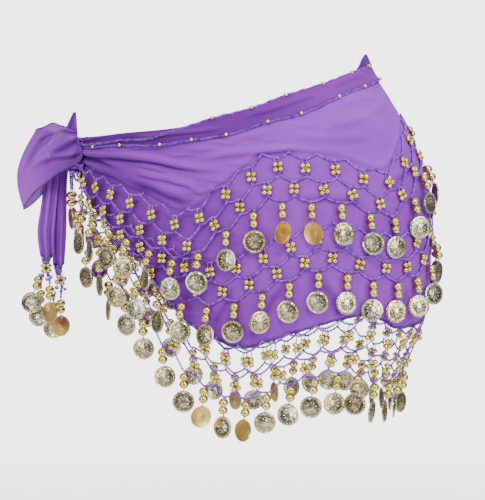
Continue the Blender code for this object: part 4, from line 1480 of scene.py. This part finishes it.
@dataclass(frozen=True)
class CrochetEdges:
    """The crochet edges: two on the turned cloth, with single beads, and one on the hem."""

    bead: float = 2.15 * MM

    def run(self, cords: Pile, beads: Pile, line: Curve, outs: tuple[float, float], side: Side,
            spots: Sequence[float], masters: Masters, rng: np.random.Generator) -> None:
        """Works one edge along a half, with a bead every so often.

        Args:
            cords: Where the chain goes.
            beads: Where the beads go.
            line: Its heights.
            outs: Distances out near the middle and near the knot.
            side: The half.
            spots: Degrees round of its beads.
            masters: The beads.
            rng: Source of the unevenness.
        """
        turns = np.linspace(0.0, 172.0, 520)
        along = HIPS.along_at(side.value * turns)
        bumpy = 0.35 * MM * np.sin(along / (2.3 * MM)) * np.sin(along / (13.0 * MM))
        height = line(turns) + bumpy
        out = outs[0] + (outs[1] - outs[0]) * ease(100.0, 114.0, turns)
        CHAIN.work(cords, HIPS.point(along, height, out), HIPS.outward(along, height), rng, 1.35)
        for spot in spots:
            place = float(HIPS.along_at(side.value * spot)) + rng.normal(0.0, 1.5 * MM)
            turn = float(HIPS.degrees(place))
            where = float(outs[0] + (outs[1] - outs[0]) * ease(100.0, 114.0, turn)) + 1.5 * MM
            middle = HIPS.point(place, float(line(turn)) + 0.6 * MM, where)[0]
            facing = HIPS.outward(place, 0.0)[0]
            seat = frame_at(middle, np.array([-facing[1], facing[0], 0.0]), UP)
            beads.stamp(masters.small_bead, seat, self.bead, rng.uniform(0.8, 1.0))

    def build(self, masters: Masters, finishes: Finishes) -> None:
        """Makes and dresses the edges of both halves."""
        rng = np.random.default_rng(71)
        beads = Pile()
        hem = Curve([(turn, height + 0.8) for turn, height in HEM], scale=MM)
        lines = {"waist_edge": ((Curve(EDGE_FRONT, scale=MM), Curve(EDGE_BACK, scale=MM)),
                                (1.9 * MM, 3.5 * MM), WAIST_BEADS, finishes.edging),
                 "fold_edge": ((HIPS.fold_line, HIPS.fold_line), (2.6 * MM, 2.6 * MM), FOLD_BEADS,
                               finishes.edging),
                 "hem_edge": ((hem, hem), (0.9 * MM, 0.9 * MM), (), finishes.rolled)}
        for name, (halves, outs, spots, finish) in lines.items():
            cords = Pile()
            for side, line in zip(Side, halves):
                self.run(cords, beads, line, outs, side, spots, masters, rng)
            dress(cords.piece(f"crochet_{name}"), finish, Slot.CORD)
        dress(beads.piece("edge_beads"), finishes.bead, Slot.BEAD)


class KnotPlace:
    """The middle of the knot with its outward and forward directions."""

    height = -40.0 * MM
    out = 17.2 * MM
    radii = (14.4 * MM, 14.0 * MM, 16.0 * MM)

    def __init__(self) -> None:
        """Finds it on the hips."""
        self.outward = HIPS.outward(HIPS.ring[-1], self.height)[0]
        self.forward = np.array([-self.outward[1], self.outward[0], 0.0])
        self.middle = HIPS.point(HIPS.ring[-1], self.height, self.out)[0]

    def at(self, out: np.ndarray | float, front: np.ndarray | float,
           height: np.ndarray | float) -> np.ndarray:
        """Places out and forward from the knot's middle, at heights in the part's frame."""
        out, front, height = np.broadcast_arrays(*(np.atleast_1d(x).astype(float)
                                                   for x in (out, front, height)))
        flat = self.middle + out[:, None] * self.outward + front[:, None] * self.forward
        flat[:, 2] = height
        return flat


KNOT = KnotPlace()


# Cords drawn from the nets into the knot: turn in degrees and height on the hips, then
# outward, forward and height at the knot, in mm.
KNOT_CORDS: Rows = (
    (168.0, -50.0, -9.0, 10.5, -50.0), (165.0, -54.0, -6.0, 9.5, -53.5),
    (161.0, -59.0, -3.5, 8.0, -55.5), (168.0, -58.0, -7.0, 7.0, -52.0),
    (167.0, -62.0, -8.0, 9.0, -54.0), (165.0, -66.0, -8.5, 10.0, -55.0),
)


@dataclass(frozen=True)
class TiedKnot:
    """The pulled-tight knot, the bow's loop and the pointed tip of the edge."""

    loop_length: float = 132.0
    loop_height: float = 60.0
    wall: float = 0.7 * MM
    clear: float = 6.0 * MM

    def lay_loop(self, share: np.ndarray, down: np.ndarray) -> Laid:
        """Where the bow's points lie.

        Args:
            share: Shares along the loop.
            down: Shares from its top edge to its low edge.

        Returns:
            The laid sheet.
        """
        top_out, top_up, low_out, low_up, front, bulge, puff = (
            Curve(BOW, column, MM)(share) for column in range(1, len(BOW[0])))
        swell = np.sin(math.pi * down)
        x, y = share * self.loop_length, -down * self.loop_height
        folds = creased(BOW_CREASES, x, y)
        pulled = np.exp(-share / 0.10) * 1.2 + np.exp(-(1 - share) / 0.12) * 0.5
        pleats = pulled * np.sin(2 * math.pi * (3.2 * down + 0.25 * np.sin(3 * down))) * swell
        wave = 0.8 * np.sin(2 * math.pi * (1.2 * share + 0.8 * down)) * swell * ease(0.1, 0.3, share)
        moved = (2.2 * folds + pleats + wave * (1 - ease(0.52, 0.62, share))) * MM
        ruffle = 0.9 * MM * np.sin(share * 41.0) * ease(0.2, 0.4, share) * (1 - ease(0.7, 0.9, share))
        points = KNOT.at(top_out + (low_out - top_out) * down + bulge * swell + 0.25 * moved,
                         front + puff * swell + moved,
                         KNOT.height + top_up + (low_up - top_up) * down + ruffle * (1 - down))
        for _ in range(6):
            short = np.maximum(0.0, self.clear - HIPS.away(points)) * (1 - ease(0.3, 0.45, share))
            points += 1.5 * short[:, None] * KNOT.forward
        # Painted light and shade: darker near the knot and towards the loop's far end, lighter along the loop
        # and its low edge, lighter on ridges and darker in the creases
        shade = (0.36 + 0.30 * ease(0.24, 0.5, share) + 0.24 * ease(0.3, 0.55, share) * down
                 + 0.28 * folds.clip(-2.0, 1.5) + 0.05 * pleats - 0.12 * ease(0.70, 0.95, share))
        return Laid(points, np.stack([share * 0.132, down * 0.06], axis=-1), shade.clip(0.0, 1.0))

    def build_loop(self, finishes: Finishes) -> None:
        """Makes and dresses the bow's loop with its rolled edges."""
        loop = lay_sheet("bow_loop", 96, 44, self.lay_loop,
                         lambda points: np.broadcast_to(KNOT.forward, points.shape), self.wall)
        share = np.linspace(0.0, 1.0, 97)
        hems = Pile()
        for down, thick in ((0.0, 0.55), (1.0, 0.6)):
            edge = self.lay_loop(share, np.full_like(share, down)).points
            edge += KNOT.forward * self.wall / 2
            hems.tube(edge, thick * MM, 6, np.array([0.2, 0.1, 1.0]), 0.4)
        dress(loop, finishes.sheer, Slot.CHIFFON, ("bow",))
        hem = dress(hems.piece("bow_rolled_edges"), finishes.rolled, Slot.CHIFFON)

    def build_knot(self, finishes: Finishes) -> None:
        """Makes and dresses the knot: a pleated ball with a band pulled round it."""
        bpy.ops.object.select_all(action="DESELECT")
        bpy.ops.mesh.primitive_uv_sphere_add(segments=72, ring_count=40, radius=1.0)
        ball = bpy.context.object
        ball.name = ball.data.name = "knot_folds"
        round_points = points_of(ball.data)
        out, front, up = round_points.T
        around = np.arctan2(front, out)
        pleat = 0.05 * np.sin(7 * around + 4.0 * up) + 0.035 * np.sin(11 * around - 5.0 * up + 1.0)
        waist = 0.10 * np.exp(-((up * 0.8 + out * 0.5) / 0.14) ** 2)
        size = (0.94 + pleat * (1 - up**2) - waist)[:, None] * np.array(KNOT.radii)
        placed = KNOT.at(out * size[:, 0], front * size[:, 1], KNOT.height + up * size[:, 2])
        ball.data.vertices.foreach_set("co", placed.astype(np.float32).ravel())
        corners = np.zeros(len(ball.data.loops), np.int32)
        ball.data.loops.foreach_get("vertex_index", corners)
        ball.data.uv_layers[0].name = "cut"
        cut = np.stack([around * 0.014, up * 0.016], axis=-1)
        ball.data.uv_layers[0].data.foreach_set("uv", cut[corners].astype(np.float32).ravel())
        # Painted light and shade: lighter on the pleats' ridges, darker in their troughs and in the band
        # pulled round the knot
        shade = ball.data.attributes.new("tone_and_shade", "FLOAT", "POINT")
        shade.data.foreach_set("value", (0.4 + 3.0 * pleat - 2.0 * waist).clip(0.0, 1.0).astype(np.float32))
        select_only(ball)
        bpy.ops.object.mode_set(mode="EDIT")
        bpy.ops.mesh.select_all(action="SELECT")
        bpy.ops.mesh.normals_make_consistent(inside=False)
        bpy.ops.object.mode_set(mode="OBJECT")
        ball.data.polygons.foreach_set("use_smooth", np.ones(len(ball.data.polygons), bool))
        dress(ball, finishes.gathered, Slot.CHIFFON, ("knot",))

    def build_tip(self, finishes: Finishes) -> None:
        """Makes and dresses the pointed tip of the edge over the knot."""
        foot, tall = KNOT.height + KNOT.radii[2] - 1.0 * MM, 23.2 * MM

        def place(share: np.ndarray, down: np.ndarray) -> Laid:
            """Where the tip's points lie."""
            rise = 1 - down
            left, right = -1.2 - 9.6 * rise, -13.6 + 1.2 * rise
            out = (left + (right - left) * share) * MM
            cup = 2.4 * np.sin(math.pi * share) * down + 0.6 * np.sin(9.0 * share) * down
            points = KNOT.at(out, (cup + 1.0) * MM, foot + tall * rise)
            # Painted shade across the tip: darker at its left edge, lighter towards its right
            return Laid(points, np.stack([share * 0.014, down * 0.023], axis=-1), 0.05 + 0.5 * share)

        tip = lay_sheet("knot_tip_cloth", 14, 20, place,
                        lambda points: np.broadcast_to(KNOT.forward, points.shape), 0.6 * MM)
        dress(tip, finishes.gathered, Slot.CHIFFON, ("knot_tip",))
        rise = np.linspace(0.0, 1.0, 16)
        hems = Pile()
        for left, lean, front, sizes in ((-1.2, -9.6, 1.6, (2.0, 1.1)), (-13.6, 1.2, 1.2, (0.7, 0.5))):
            path = KNOT.at((left + lean * rise) * MM, front * MM, foot + tall * rise)
            radius = np.interp(rise, (0.0, 0.85, 1.0), (sizes[0], sizes[1], 0.7 * sizes[1])) * MM
            hems.tube(path, radius * (1 + 0.08 * np.sin(rise * 40.0)), 8, KNOT.forward, 0.35)
        hem = dress(hems.piece("knot_tip_rolled_edge"), finishes.rolled, Slot.CHIFFON)

    def build_gathers(self, side: Side, finishes: Finishes) -> None:
        """Makes and dresses the bunched cloth that runs from one half of the wrap into the knot.

        Args:
            side: The half.
            finishes: The materials.
        """
        def place(share: np.ndarray, down: np.ndarray) -> Laid:
            """Where the bunched cloth's points lie."""
            begin = HIPS.along_at(side.value * (163.0 - 2.0 * np.sin(9.0 * down)))
            bend = HIPS.along_at(side.value * 173.5)
            start = HIPS.point(begin, (-25.5 - 31.0 * down) * MM, 3.0 * MM)
            middle = HIPS.point(np.full_like(down, bend), (-28.0 - 26.0 * down) * MM,
                                (8.0 + 2.0 * np.sin(math.pi * down)) * MM)
            end = KNOT.at(-5.0 * MM, -side.value * (9.5 + 2.0 * np.sin(math.pi * down)) * MM,
                          KNOT.height + (9.5 - 21.0 * down) * MM)
            t = share[:, None]
            path = start * (1 - t) ** 2 + 2 * middle * t * (1 - t) + end * t**2
            facing = unit(HIPS.outward(begin, KNOT.height) * (1 - t) - side.value * KNOT.forward * t)
            pleats = (np.sin(2 * math.pi * (4.2 * down + 0.5 * np.sin(2.6 * down) + 0.25 * share))
                      + 0.5 * np.sin(2 * math.pi * (7.3 * down - 0.3 * share)))
            raised = pleats * (0.25 + 1.2 * np.sin(math.pi * np.minimum(share + 0.15, 0.85)))
            points = path + facing * raised[:, None] * MM
            # Painted light and shade: lighter on the pleats' ridges, darker in their troughs and where the
            # cloth runs into the knot
            shade = 0.40 + 0.16 * pleats - 0.18 * ease(0.55, 1.0, share)
            cut = np.stack([share * 0.035, down * 0.055], axis=-1)
            return Laid(points, cut, shade.clip(0.0, 1.0))

        gathers = lay_sheet(
            f"knot_gathers_{side.label}", 30, 64, place,
            lambda points: np.broadcast_to(-side.value * KNOT.forward, points.shape), 0.6 * MM)
        dress(gathers, finishes.gathered, Slot.CHIFFON)

    def build_bunch(self, masters: Masters, finishes: Finishes) -> None:
        """Makes and dresses the crochet, and a coin strand, that are drawn from the nets into the knot.

        Args:
            masters: The bead and the coin.
            finishes: The materials.
        """
        rng = np.random.default_rng(83)
        piles = FringePiles()
        cords = piles.threads
        for side in Side:
            forward = -side.value * 11.0 * MM

            def hung(depth: float) -> np.ndarray:
                """Place on the strand at a depth under its root."""
                return KNOT.at(-8.3 * MM, forward, -75.8 * MM - depth)[0]

            start = KNOT.at(-7.0 * MM, forward, -53.0 * MM)[0]
            CHAIN.work(cords, np.linspace(start, hung(0.0), 10), -side.value * KNOT.forward, rng)
            hang_strand(piles, masters, start, hung, -side.value * KNOT.forward, KNOT.outward, 72.0, rng,
                        TIERS[0].bead_depths, TIERS[0].coin_depth)
            for turn, height, out, front, low in KNOT_CORDS:
                start = HIPS.point(HIPS.along_at(side.value * turn), height * MM, 8.0 * MM)[0]
                end = KNOT.at(out * MM, -side.value * front * MM, low * MM)[0]
                middle = (start + end) / 2 - side.value * KNOT.forward * 3.5 * MM - UP * 2.0 * MM
                t = np.linspace(0.0, 1.0, 14)[:, None]
                path = start * (1 - t) ** 2 + 2 * middle * t * (1 - t) + end * t**2
                CHAIN.work(cords, path, -side.value * KNOT.forward, rng, 1.1)
        dress(cords.piece("crochet_drawn_in"), finishes.yarn, Slot.CORD)
        dress(piles.beads.piece("fringe_beads_knot"), finishes.bead, Slot.BEAD)
        dress(piles.coins.piece("fringe_coins_knot"), finishes.coin, Slot.COIN)

    def build(self, masters: Masters, finishes: Finishes) -> None:
        """Makes the knot, its gathers, its loop and its tip.

        Args:
            masters: The bead and the coin.
            finishes: The materials.
        """
        self.build_knot(finishes)
        for side in Side:
            self.build_gathers(side, finishes)
        self.build_bunch(masters, finishes)
        self.build_loop(finishes)
        self.build_tip(finishes)


BOW_CREASES = (
    Crease(((34.0, -16.0), (46.0, -24.0), (58.0, -34.0)), -0.9, 1.6, 0.4),
    Crease(((4.0, -18.0), (22.0, -24.0), (40.0, -34.0), (54.0, -50.0)), 1.2, 3.2, 0.5, (0.02, 0.4)),
    Crease(((4.0, -34.0), (20.0, -42.0), (34.0, -54.0)), 1.3, 2.8, 0.5, (0.02, 0.4)),
    Crease(((6.0, -8.0), (24.0, -9.0), (42.0, -8.0)), 0.8, 2.2, 0.5, (0.02, 0.5)),
    Crease(((48.0, -6.0), (56.0, -22.0), (60.0, -40.0)), 1.0, 3.0, 0.4),
    Crease(((28.0, -4.0), (42.0, -13.0), (58.0, -16.0)), 0.9, 1.8, 0.6),
    Crease(((16.0, -50.0), (34.0, -46.0), (50.0, -40.0), (62.0, -46.0)), 1.0, 2.2, 0.6, (0.02, 0.4)),
    Crease(((74.0, -8.0), (84.0, -28.0), (96.0, -44.0)), 0.8, 2.6, 0.4),
    Crease(((130.0, -22.0), (108.0, -26.0), (92.0, -36.0)), 0.8, 2.4, 0.4, (0.02, 0.4)),
)


@dataclass(frozen=True)
class HangingEnd:
    """A gathered end of the cloth under the knot, with its net, flower and coin strands; in mm."""

    name: str
    forward: float
    flutes: int
    sections: Rows
    flower: tuple[float, float, float]
    strands: Rows
    edge_angle: float
    seed: int
    twist: float = 0.012
    columns: int = 84
    rows: int = 60
    bar: float = 2.4

    def lay(self, share: np.ndarray, down: np.ndarray) -> Laid:
        """Where the end's points lie.

        Args:
            share: Shares round it.
            down: Shares down it.

        Returns:
            The laid sheet.
        """
        tops = [row[0] for row in self.sections]
        level = tops[0] + (tops[-1] - tops[0]) * down
        rising = tuple(reversed(self.sections))
        side, wide, deep = (Curve(rising, column)(level) for column in (1, 2, 3))
        angle = 2 * math.pi * share
        main = np.cos(self.flutes * angle + level * self.twist)
        fine = np.cos((2 * self.flutes + 1) * angle - level * 0.03 + self.seed)
        flute = 1 + 0.15 * main + 0.07 * fine * ease(0.0, 0.25, down)
        out = (side + wide * flute * np.cos(angle)) * MM
        front = (self.forward + deep * flute * np.sin(angle)) * MM
        droop = down * (1.6 * np.sin(2 * angle + self.seed) + 0.6 * np.sin(5 * angle))
        first = self.underside(out, front)
        height = np.where(down < 1e-6, first, np.minimum((level - droop * ease(0.8, 1.0, down)) * MM, first))
        # Painted light and shade: lighter on the flutes, darker between them, under the knot and at the foot
        shade = (0.52 + 0.22 * main + 0.12 * fine - 0.2 * (1 - ease(0.0, 0.3, down))
                 - 0.12 * ease(0.92, 1.0, down))
        cut = np.stack([angle * 0.010, level * MM], axis=-1)
        return Laid(KNOT.at(out, front, height), cut, shade.clip(0.0, 1.0))

    @staticmethod
    def underside(out: np.ndarray, front: np.ndarray) -> np.ndarray:
        """Height just under the knot."""
        inside = 1 - (out / KNOT.radii[0]) ** 2 - (front / KNOT.radii[1]) ** 2
        return KNOT.height - KNOT.radii[2] * np.sqrt(np.maximum(0.16, inside)) * 0.96

    def build(self, masters: Masters, finishes: Finishes) -> None:
        """Makes and dresses the end with what hangs from it.

        Args:
            masters: The beads and the coin.
            finishes: The materials.
        """
        axis = KNOT.at(self.sections[0][1] * MM, self.forward * MM, 0.0)[0]

        def outward(points: np.ndarray) -> np.ndarray:
            """Directions away from the end's axis."""
            away = points - axis
            away[:, 2] = 0.0
            return away

        cloth = lay_sheet(f"hanging_end_{self.name}", self.columns, self.rows, self.lay, outward,
                          0.6 * MM, -1.0, joined=True)
        dress(cloth, finishes.gathered, Slot.CHIFFON, (f"tail_{self.name}",))
        rng = np.random.default_rng(self.seed)
        piles, flowers = FringePiles(), Pile()
        self.work_edge(piles.threads, rng)
        self.work_net(piles.threads, flowers, masters, rng)
        for place, front, thread, turn, lean in self.strands:
            self.hang(piles, masters, place, front, thread, turn, lean, rng)
        fringe = dress(piles.threads.piece(f"crochet_end_{self.name}"), finishes.yarn, Slot.CORD)
        dress(flowers.piece(f"bead_flowers_end_{self.name}"), finishes.bead, Slot.BEAD)
        dress(piles.beads.piece(f"fringe_beads_end_{self.name}"), finishes.bead, Slot.BEAD)
        coins = piles.coins.piece(f"fringe_coins_end_{self.name}")
        select_only(coins)
        bpy.ops.object.shade_smooth_by_angle(angle=math.radians(24.0))
        dress(coins, finishes.coin, Slot.COIN, (f"coins_tail_{self.name}",))

    @property
    def foot(self) -> float:
        """Height of the end's foot, in mm."""
        return self.sections[-1][0]

    def work_edge(self, cords: Pile, rng: np.random.Generator) -> None:
        """Works the crochet edge that runs down the end."""
        down = np.linspace(0.04, 1.0, 60)
        share = self.edge_angle / 360.0 + 0.03 * np.sin(down * 7.0)
        laid = self.lay(share, down)
        axis = KNOT.at(self.sections[0][1] * MM, self.forward * MM, 0.0)[0]
        facing = laid.points - axis
        facing[:, 2] = 0.0
        facing = unit(facing)
        CHAIN.work(cords, laid.points + facing * 0.6 * MM, facing, rng, 0.9)

    def work_net(self, cords: Pile, flowers: Pile, masters: Masters, rng: np.random.Generator) -> None:
        """Works the bar under the foot, the threads to the flower and the bar under it."""
        _, middle, wide, deep = self.sections[-1]
        at_out, at_front, at_height = self.flower
        foot = self.foot - 1.2
        low = at_height - 8.5
        for spread in (-0.85, -0.35, 0.1, 0.5, 0.9):
            run = np.linspace(0.0, 1.0, 12)
            reach = (1 - run) ** 1.5 * spread
            path = KNOT.at(
                (at_out + (middle - at_out) * (1 - run) + wide * reach + 1.0 * np.sin(5 * run)) * MM,
                (self.forward + at_front * run - deep * 0.35 * (1 - abs(spread)) - 1.5) * MM,
                (foot + 3.0 + (low - foot - 3.0) * run) * MM)
            CHAIN.work(cords, path, KNOT.forward, rng, 1.05)
        for spot, drop in ((-4.2, 0.0), (3.6, -1.4), (-0.6, 2.2)):
            lump = KNOT.at((at_out + spot) * MM, (self.forward + at_front + 0.8) * MM, (low - drop) * MM)[0]
            cords.stamp(masters.lump, frame_at(lump, KNOT.outward, UP),
                        rng.uniform(2.0, 2.6) * MM, 0.6)
        gap = 2.4
        centre = KNOT.at(at_out * MM, (self.forward + at_front) * MM, at_height * MM)[0]
        seat = frame_at(centre, KNOT.outward, UP, rng.normal(0.0, 0.3), 0.15)
        for x in (-1, 1):
            ends = []
            for z in (1, -1):
                spot = seat.copy()
                spot[:, 3] = seat[:, :3] @ np.array([x * gap, 0.0, z * gap]) * MM + centre
                flowers.stamp(masters.small_bead, spot, BEADS.small * 1.05, rng.uniform(0.5, 1.0))
                ends.append(spot[:, 3])
            top = KNOT.at((middle + x * 2.4) * MM, self.forward * MM, (foot - 0.5) * MM)[0]
            low = KNOT.at((at_out + x * 3.0) * MM, (self.forward + at_front) * MM, (at_height - 8.0) * MM)[0]
            cords.tube(resampled(np.array([top, *ends, low]), 1.5 * MM), 0.42 * MM, 4, KNOT.forward, 0.7)

    def hang(self, piles: FringePiles, masters: Masters, place: float, front: float, thread: float,
             turn: float, lean: float, rng: np.random.Generator) -> None:
        """Hangs one coin strand of its own length.

        Args:
            piles: Where its parts go.
            masters: The bead and the coin.
            place: Its place outward from the end's middle.
            front: Its place forward from it.
            thread: Thread above its beads.
            turn: The coin's turn in degrees.
            lean: How far inward of its coin its beads hang.
            rng: Source of the unevenness.
        """
        middle = self.sections[-1][1]
        root = self.foot - 0.3 - self.bar - thread

        def hung(depth: float) -> np.ndarray:
            """Place on the strand at a depth under its root."""
            inward = lean * (1 - float(ease(8.0 * MM, 20.0 * MM, depth)))
            return KNOT.at((middle + place - inward) * MM, (self.forward + front) * MM, root * MM - depth)[0]

        from_end = min(max(middle + place, self.flower[0] - 5.0), self.flower[0] + 5.0)
        start_height = min(self.flower[2] - 8.8, root + 6.0) if thread > 10 else self.foot - 1.5
        start = KNOT.at(from_end * MM, (self.forward + self.flower[1]) * MM, start_height * MM)[0]
        if thread > 10:
            cord = np.linspace(start + np.array([0.0, 0.0, 2.5 * MM]), hung(1.0 * MM), 8)
            CHAIN.work(piles.threads, cord, KNOT.forward, rng, 1.1)
        hang_strand(piles, masters, start, hung, KNOT.forward, KNOT.outward, turn, rng,
                    (5.6 * MM, 12.0 * MM), 27.6 * MM)


@dataclass(frozen=True)
class Studio:
    """A pale floor, soft lights and the camera at the photograph's angle."""

    azimuth: float = 30.0
    elevation: float = 3.0
    distance: float = 2.2
    pixel: float = 0.94 * MM
    floor_height: float = -0.92
    floor_radius: float = 4.5

    def place_camera(self) -> None:
        """Makes the scene's camera."""
        turn, rise = math.radians(self.azimuth), math.radians(self.elevation)
        back = Vector((math.sin(turn) * math.cos(rise), -math.cos(turn) * math.cos(rise), math.sin(rise)))
        right = Vector((math.cos(turn), math.sin(turn), 0.0))
        up = back.cross(right)
        target = right * (8.5 * self.pixel) - up * (140.0 * self.pixel)
        bpy.ops.object.camera_add(location=target + back * self.distance)
        camera = bpy.context.object
        camera.name = "studio_camera"
        camera.rotation_mode = "QUATERNION"
        camera.rotation_quaternion = back.to_track_quat("Z", "Y")
        camera.data.sensor_width, camera.data.sensor_fit = 36.0, "HORIZONTAL"
        camera.data.lens = 36.0 * self.distance / (485.0 * self.pixel)
        camera.data.clip_start, camera.data.clip_end = 0.05, 40.0
        bpy.context.scene.camera = camera

    def place_floor(self) -> None:
        """Makes the round pale floor, which fades into the backdrop."""
        bpy.ops.object.select_all(action="DESELECT")
        bpy.ops.mesh.primitive_circle_add(vertices=96, radius=self.floor_radius, fill_type="NGON",
                                          location=(0.0, 0.0, self.floor_height))
        floor = bpy.context.object
        floor.name = "studio_floor"
        made, tree, shader = new_finish("pale_floor")
        place = tree.add("TexCoord").outputs["Object"]
        grain = tree.add("TexNoise", {"Vector": place, "Scale": 3.0, "Detail": 4.0}).outputs["Fac"]
        pale = tree.between(grain, (0.86, 0.86, 0.88, 1.0), (0.90, 0.90, 0.92, 1.0))
        tree.tree.links.new(pale, shader.inputs["Base Color"])
        away = tree.add("VectorMath", {0: place}, operation="LENGTH").outputs["Value"]
        tree.tree.links.new(tree.within(away, 1.2, self.floor_radius * 0.98, 1.0, 0.0),
                            shader.inputs["Alpha"])
        shader.inputs["Roughness"].default_value = 0.9
        floor.data.materials.append(made)

    def light(self) -> None:
        """Makes the backdrop's light and the soft lamps."""
        world = bpy.data.worlds.new("studio")
        bpy.context.scene.world = world
        world.use_nodes = True
        tree = Tree(world.node_tree)
        backdrop = world.node_tree.nodes["Background"]
        way = tree.add("TexCoord").outputs["Generated"]
        height = tree.add("SeparateXYZ", {0: way}).outputs[2]
        ramp = tree.add("ValToRGB", {0: tree.within(height, -1.0, 1.0)})
        ramp.color_ramp.elements[0].color = (0.20, 0.19, 0.21, 1.0)
        ramp.color_ramp.elements[1].color = (0.80, 0.81, 0.84, 1.0)
        for at, level in ((0.42, 0.12), (0.53, 0.24), (0.72, 0.75)):
            ramp.color_ramp.elements.new(at).color = (level, level, level * 1.03, 1.0)
        seen = tree.add("LightPath").outputs["Is Camera Ray"]
        shown = tree.between(seen, ramp.outputs[0], (1.0, 1.0, 1.0, 1.0))
        world.node_tree.links.new(shown, backdrop.inputs["Color"])
        world.node_tree.links.new(tree.within(seen, 0.0, 1.0, 0.95, 4.0), backdrop.inputs["Strength"])
        for name, place, size, power, tint in (
                ("left_box", (-0.55, -2.05, 0.15), 0.85, 13.0, (1.0, 0.99, 0.97)),
                ("right_box", (1.9, -0.75, 0.25), 0.9, 22.0, (0.98, 0.99, 1.0)),
                ("small_key", (0.9, -1.3, 1.35), 0.3, 24.0, (1.0, 1.0, 1.0)),
                ("rim", (-1.2, 1.8, 1.0), 1.2, 20.0, (1.0, 1.0, 1.0)),
                ("top", (0.3, 0.2, 2.2), 1.4, 10.0, (1.0, 1.0, 1.0))):
            lamp = bpy.data.lights.new(name, "AREA")
            lamp.shape, lamp.size, lamp.size_y = "RECTANGLE", size, 1.5 * size
            lamp.energy, lamp.color = power, tint
            made = bpy.data.objects.new(name, lamp)
            made.location = place
            made.rotation_mode = "QUATERNION"
            made.rotation_quaternion = (Vector(place) - Vector((0.0, 0.0, -0.12))).to_track_quat("Z", "Y")
            bpy.context.scene.collection.objects.link(made)

    def build(self) -> None:
        """Sets the studio up."""
        self.place_camera()
        self.place_floor()
        self.light()


TIERS = (
    NetTier("top", Curve(NET_TOP, scale=MM), 172, 18, 20.0, 17.5, 1.6, 3.6, 4.3, 7.8, 11),
    NetTier("middle", Curve(NET_MIDDLE, scale=MM), 157, 17, 20.0, 17.0, 1.6, 1.8, 4.2, 5.2, 23),
    NetTier("hem", Curve(NET_HEM, scale=MM), 146, 17, 25.0, 20.0, 1.6, 0.0, 3.0, 0.0, 37),
)
ENDS = (
    HangingEnd("outer", 6.5, 5, (
        (-47.0, 9.5, 6.5, 6.0), (-68.0, 11.0, 6.5, 6.0), (-92.0, 13.5, 6.8, 6.0),
        (-116.0, 16.0, 7.2, 6.0), (-139.0, 15.0, 6.0, 4.5)),
        (15.7, 3.0, -150.5), ((-2.5, 2.5, 23.5, 40, 0), (9.0, -8.5, 28.0, 10, 2), (15.0, 1.5, 14.0, -20, 6.5)),
        200.0, 5),
    HangingEnd("inner", -7.0, 4, (
        (-47.0, 2.0, 6.5, 6.0), (-68.0, 3.5, 6.2, 6.0), (-96.0, 4.5, 6.2, 6.0),
        (-122.0, 5.5, 6.4, 6.0), (-148.0, 5.5, 5.0, 4.5)),
        (3.5, 1.0, -163.0), ((-2.5, 3.5, 28.5, -38, 0), (5.8, -5.0, 31.5, 15, 0)), 55.0, 9),
)


def main() -> None:
    """Builds the scarf and its studio."""
    logging.basicConfig(level=logging.INFO, format="%(message)s")
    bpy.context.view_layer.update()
    finishes = Finishes()
    masters = Masters.modelled()
    Studio().build()
    ChiffonWrap().build(finishes)
    CrochetEdges().build(masters, finishes)
    for tier in TIERS:
        for side in Side:
            tier.build(side, masters, finishes)
    TiedKnot().build(masters, finishes)
    for end in ENDS:
        end.build(masters, finishes)
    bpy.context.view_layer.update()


if __name__ == "__main__":
    main()
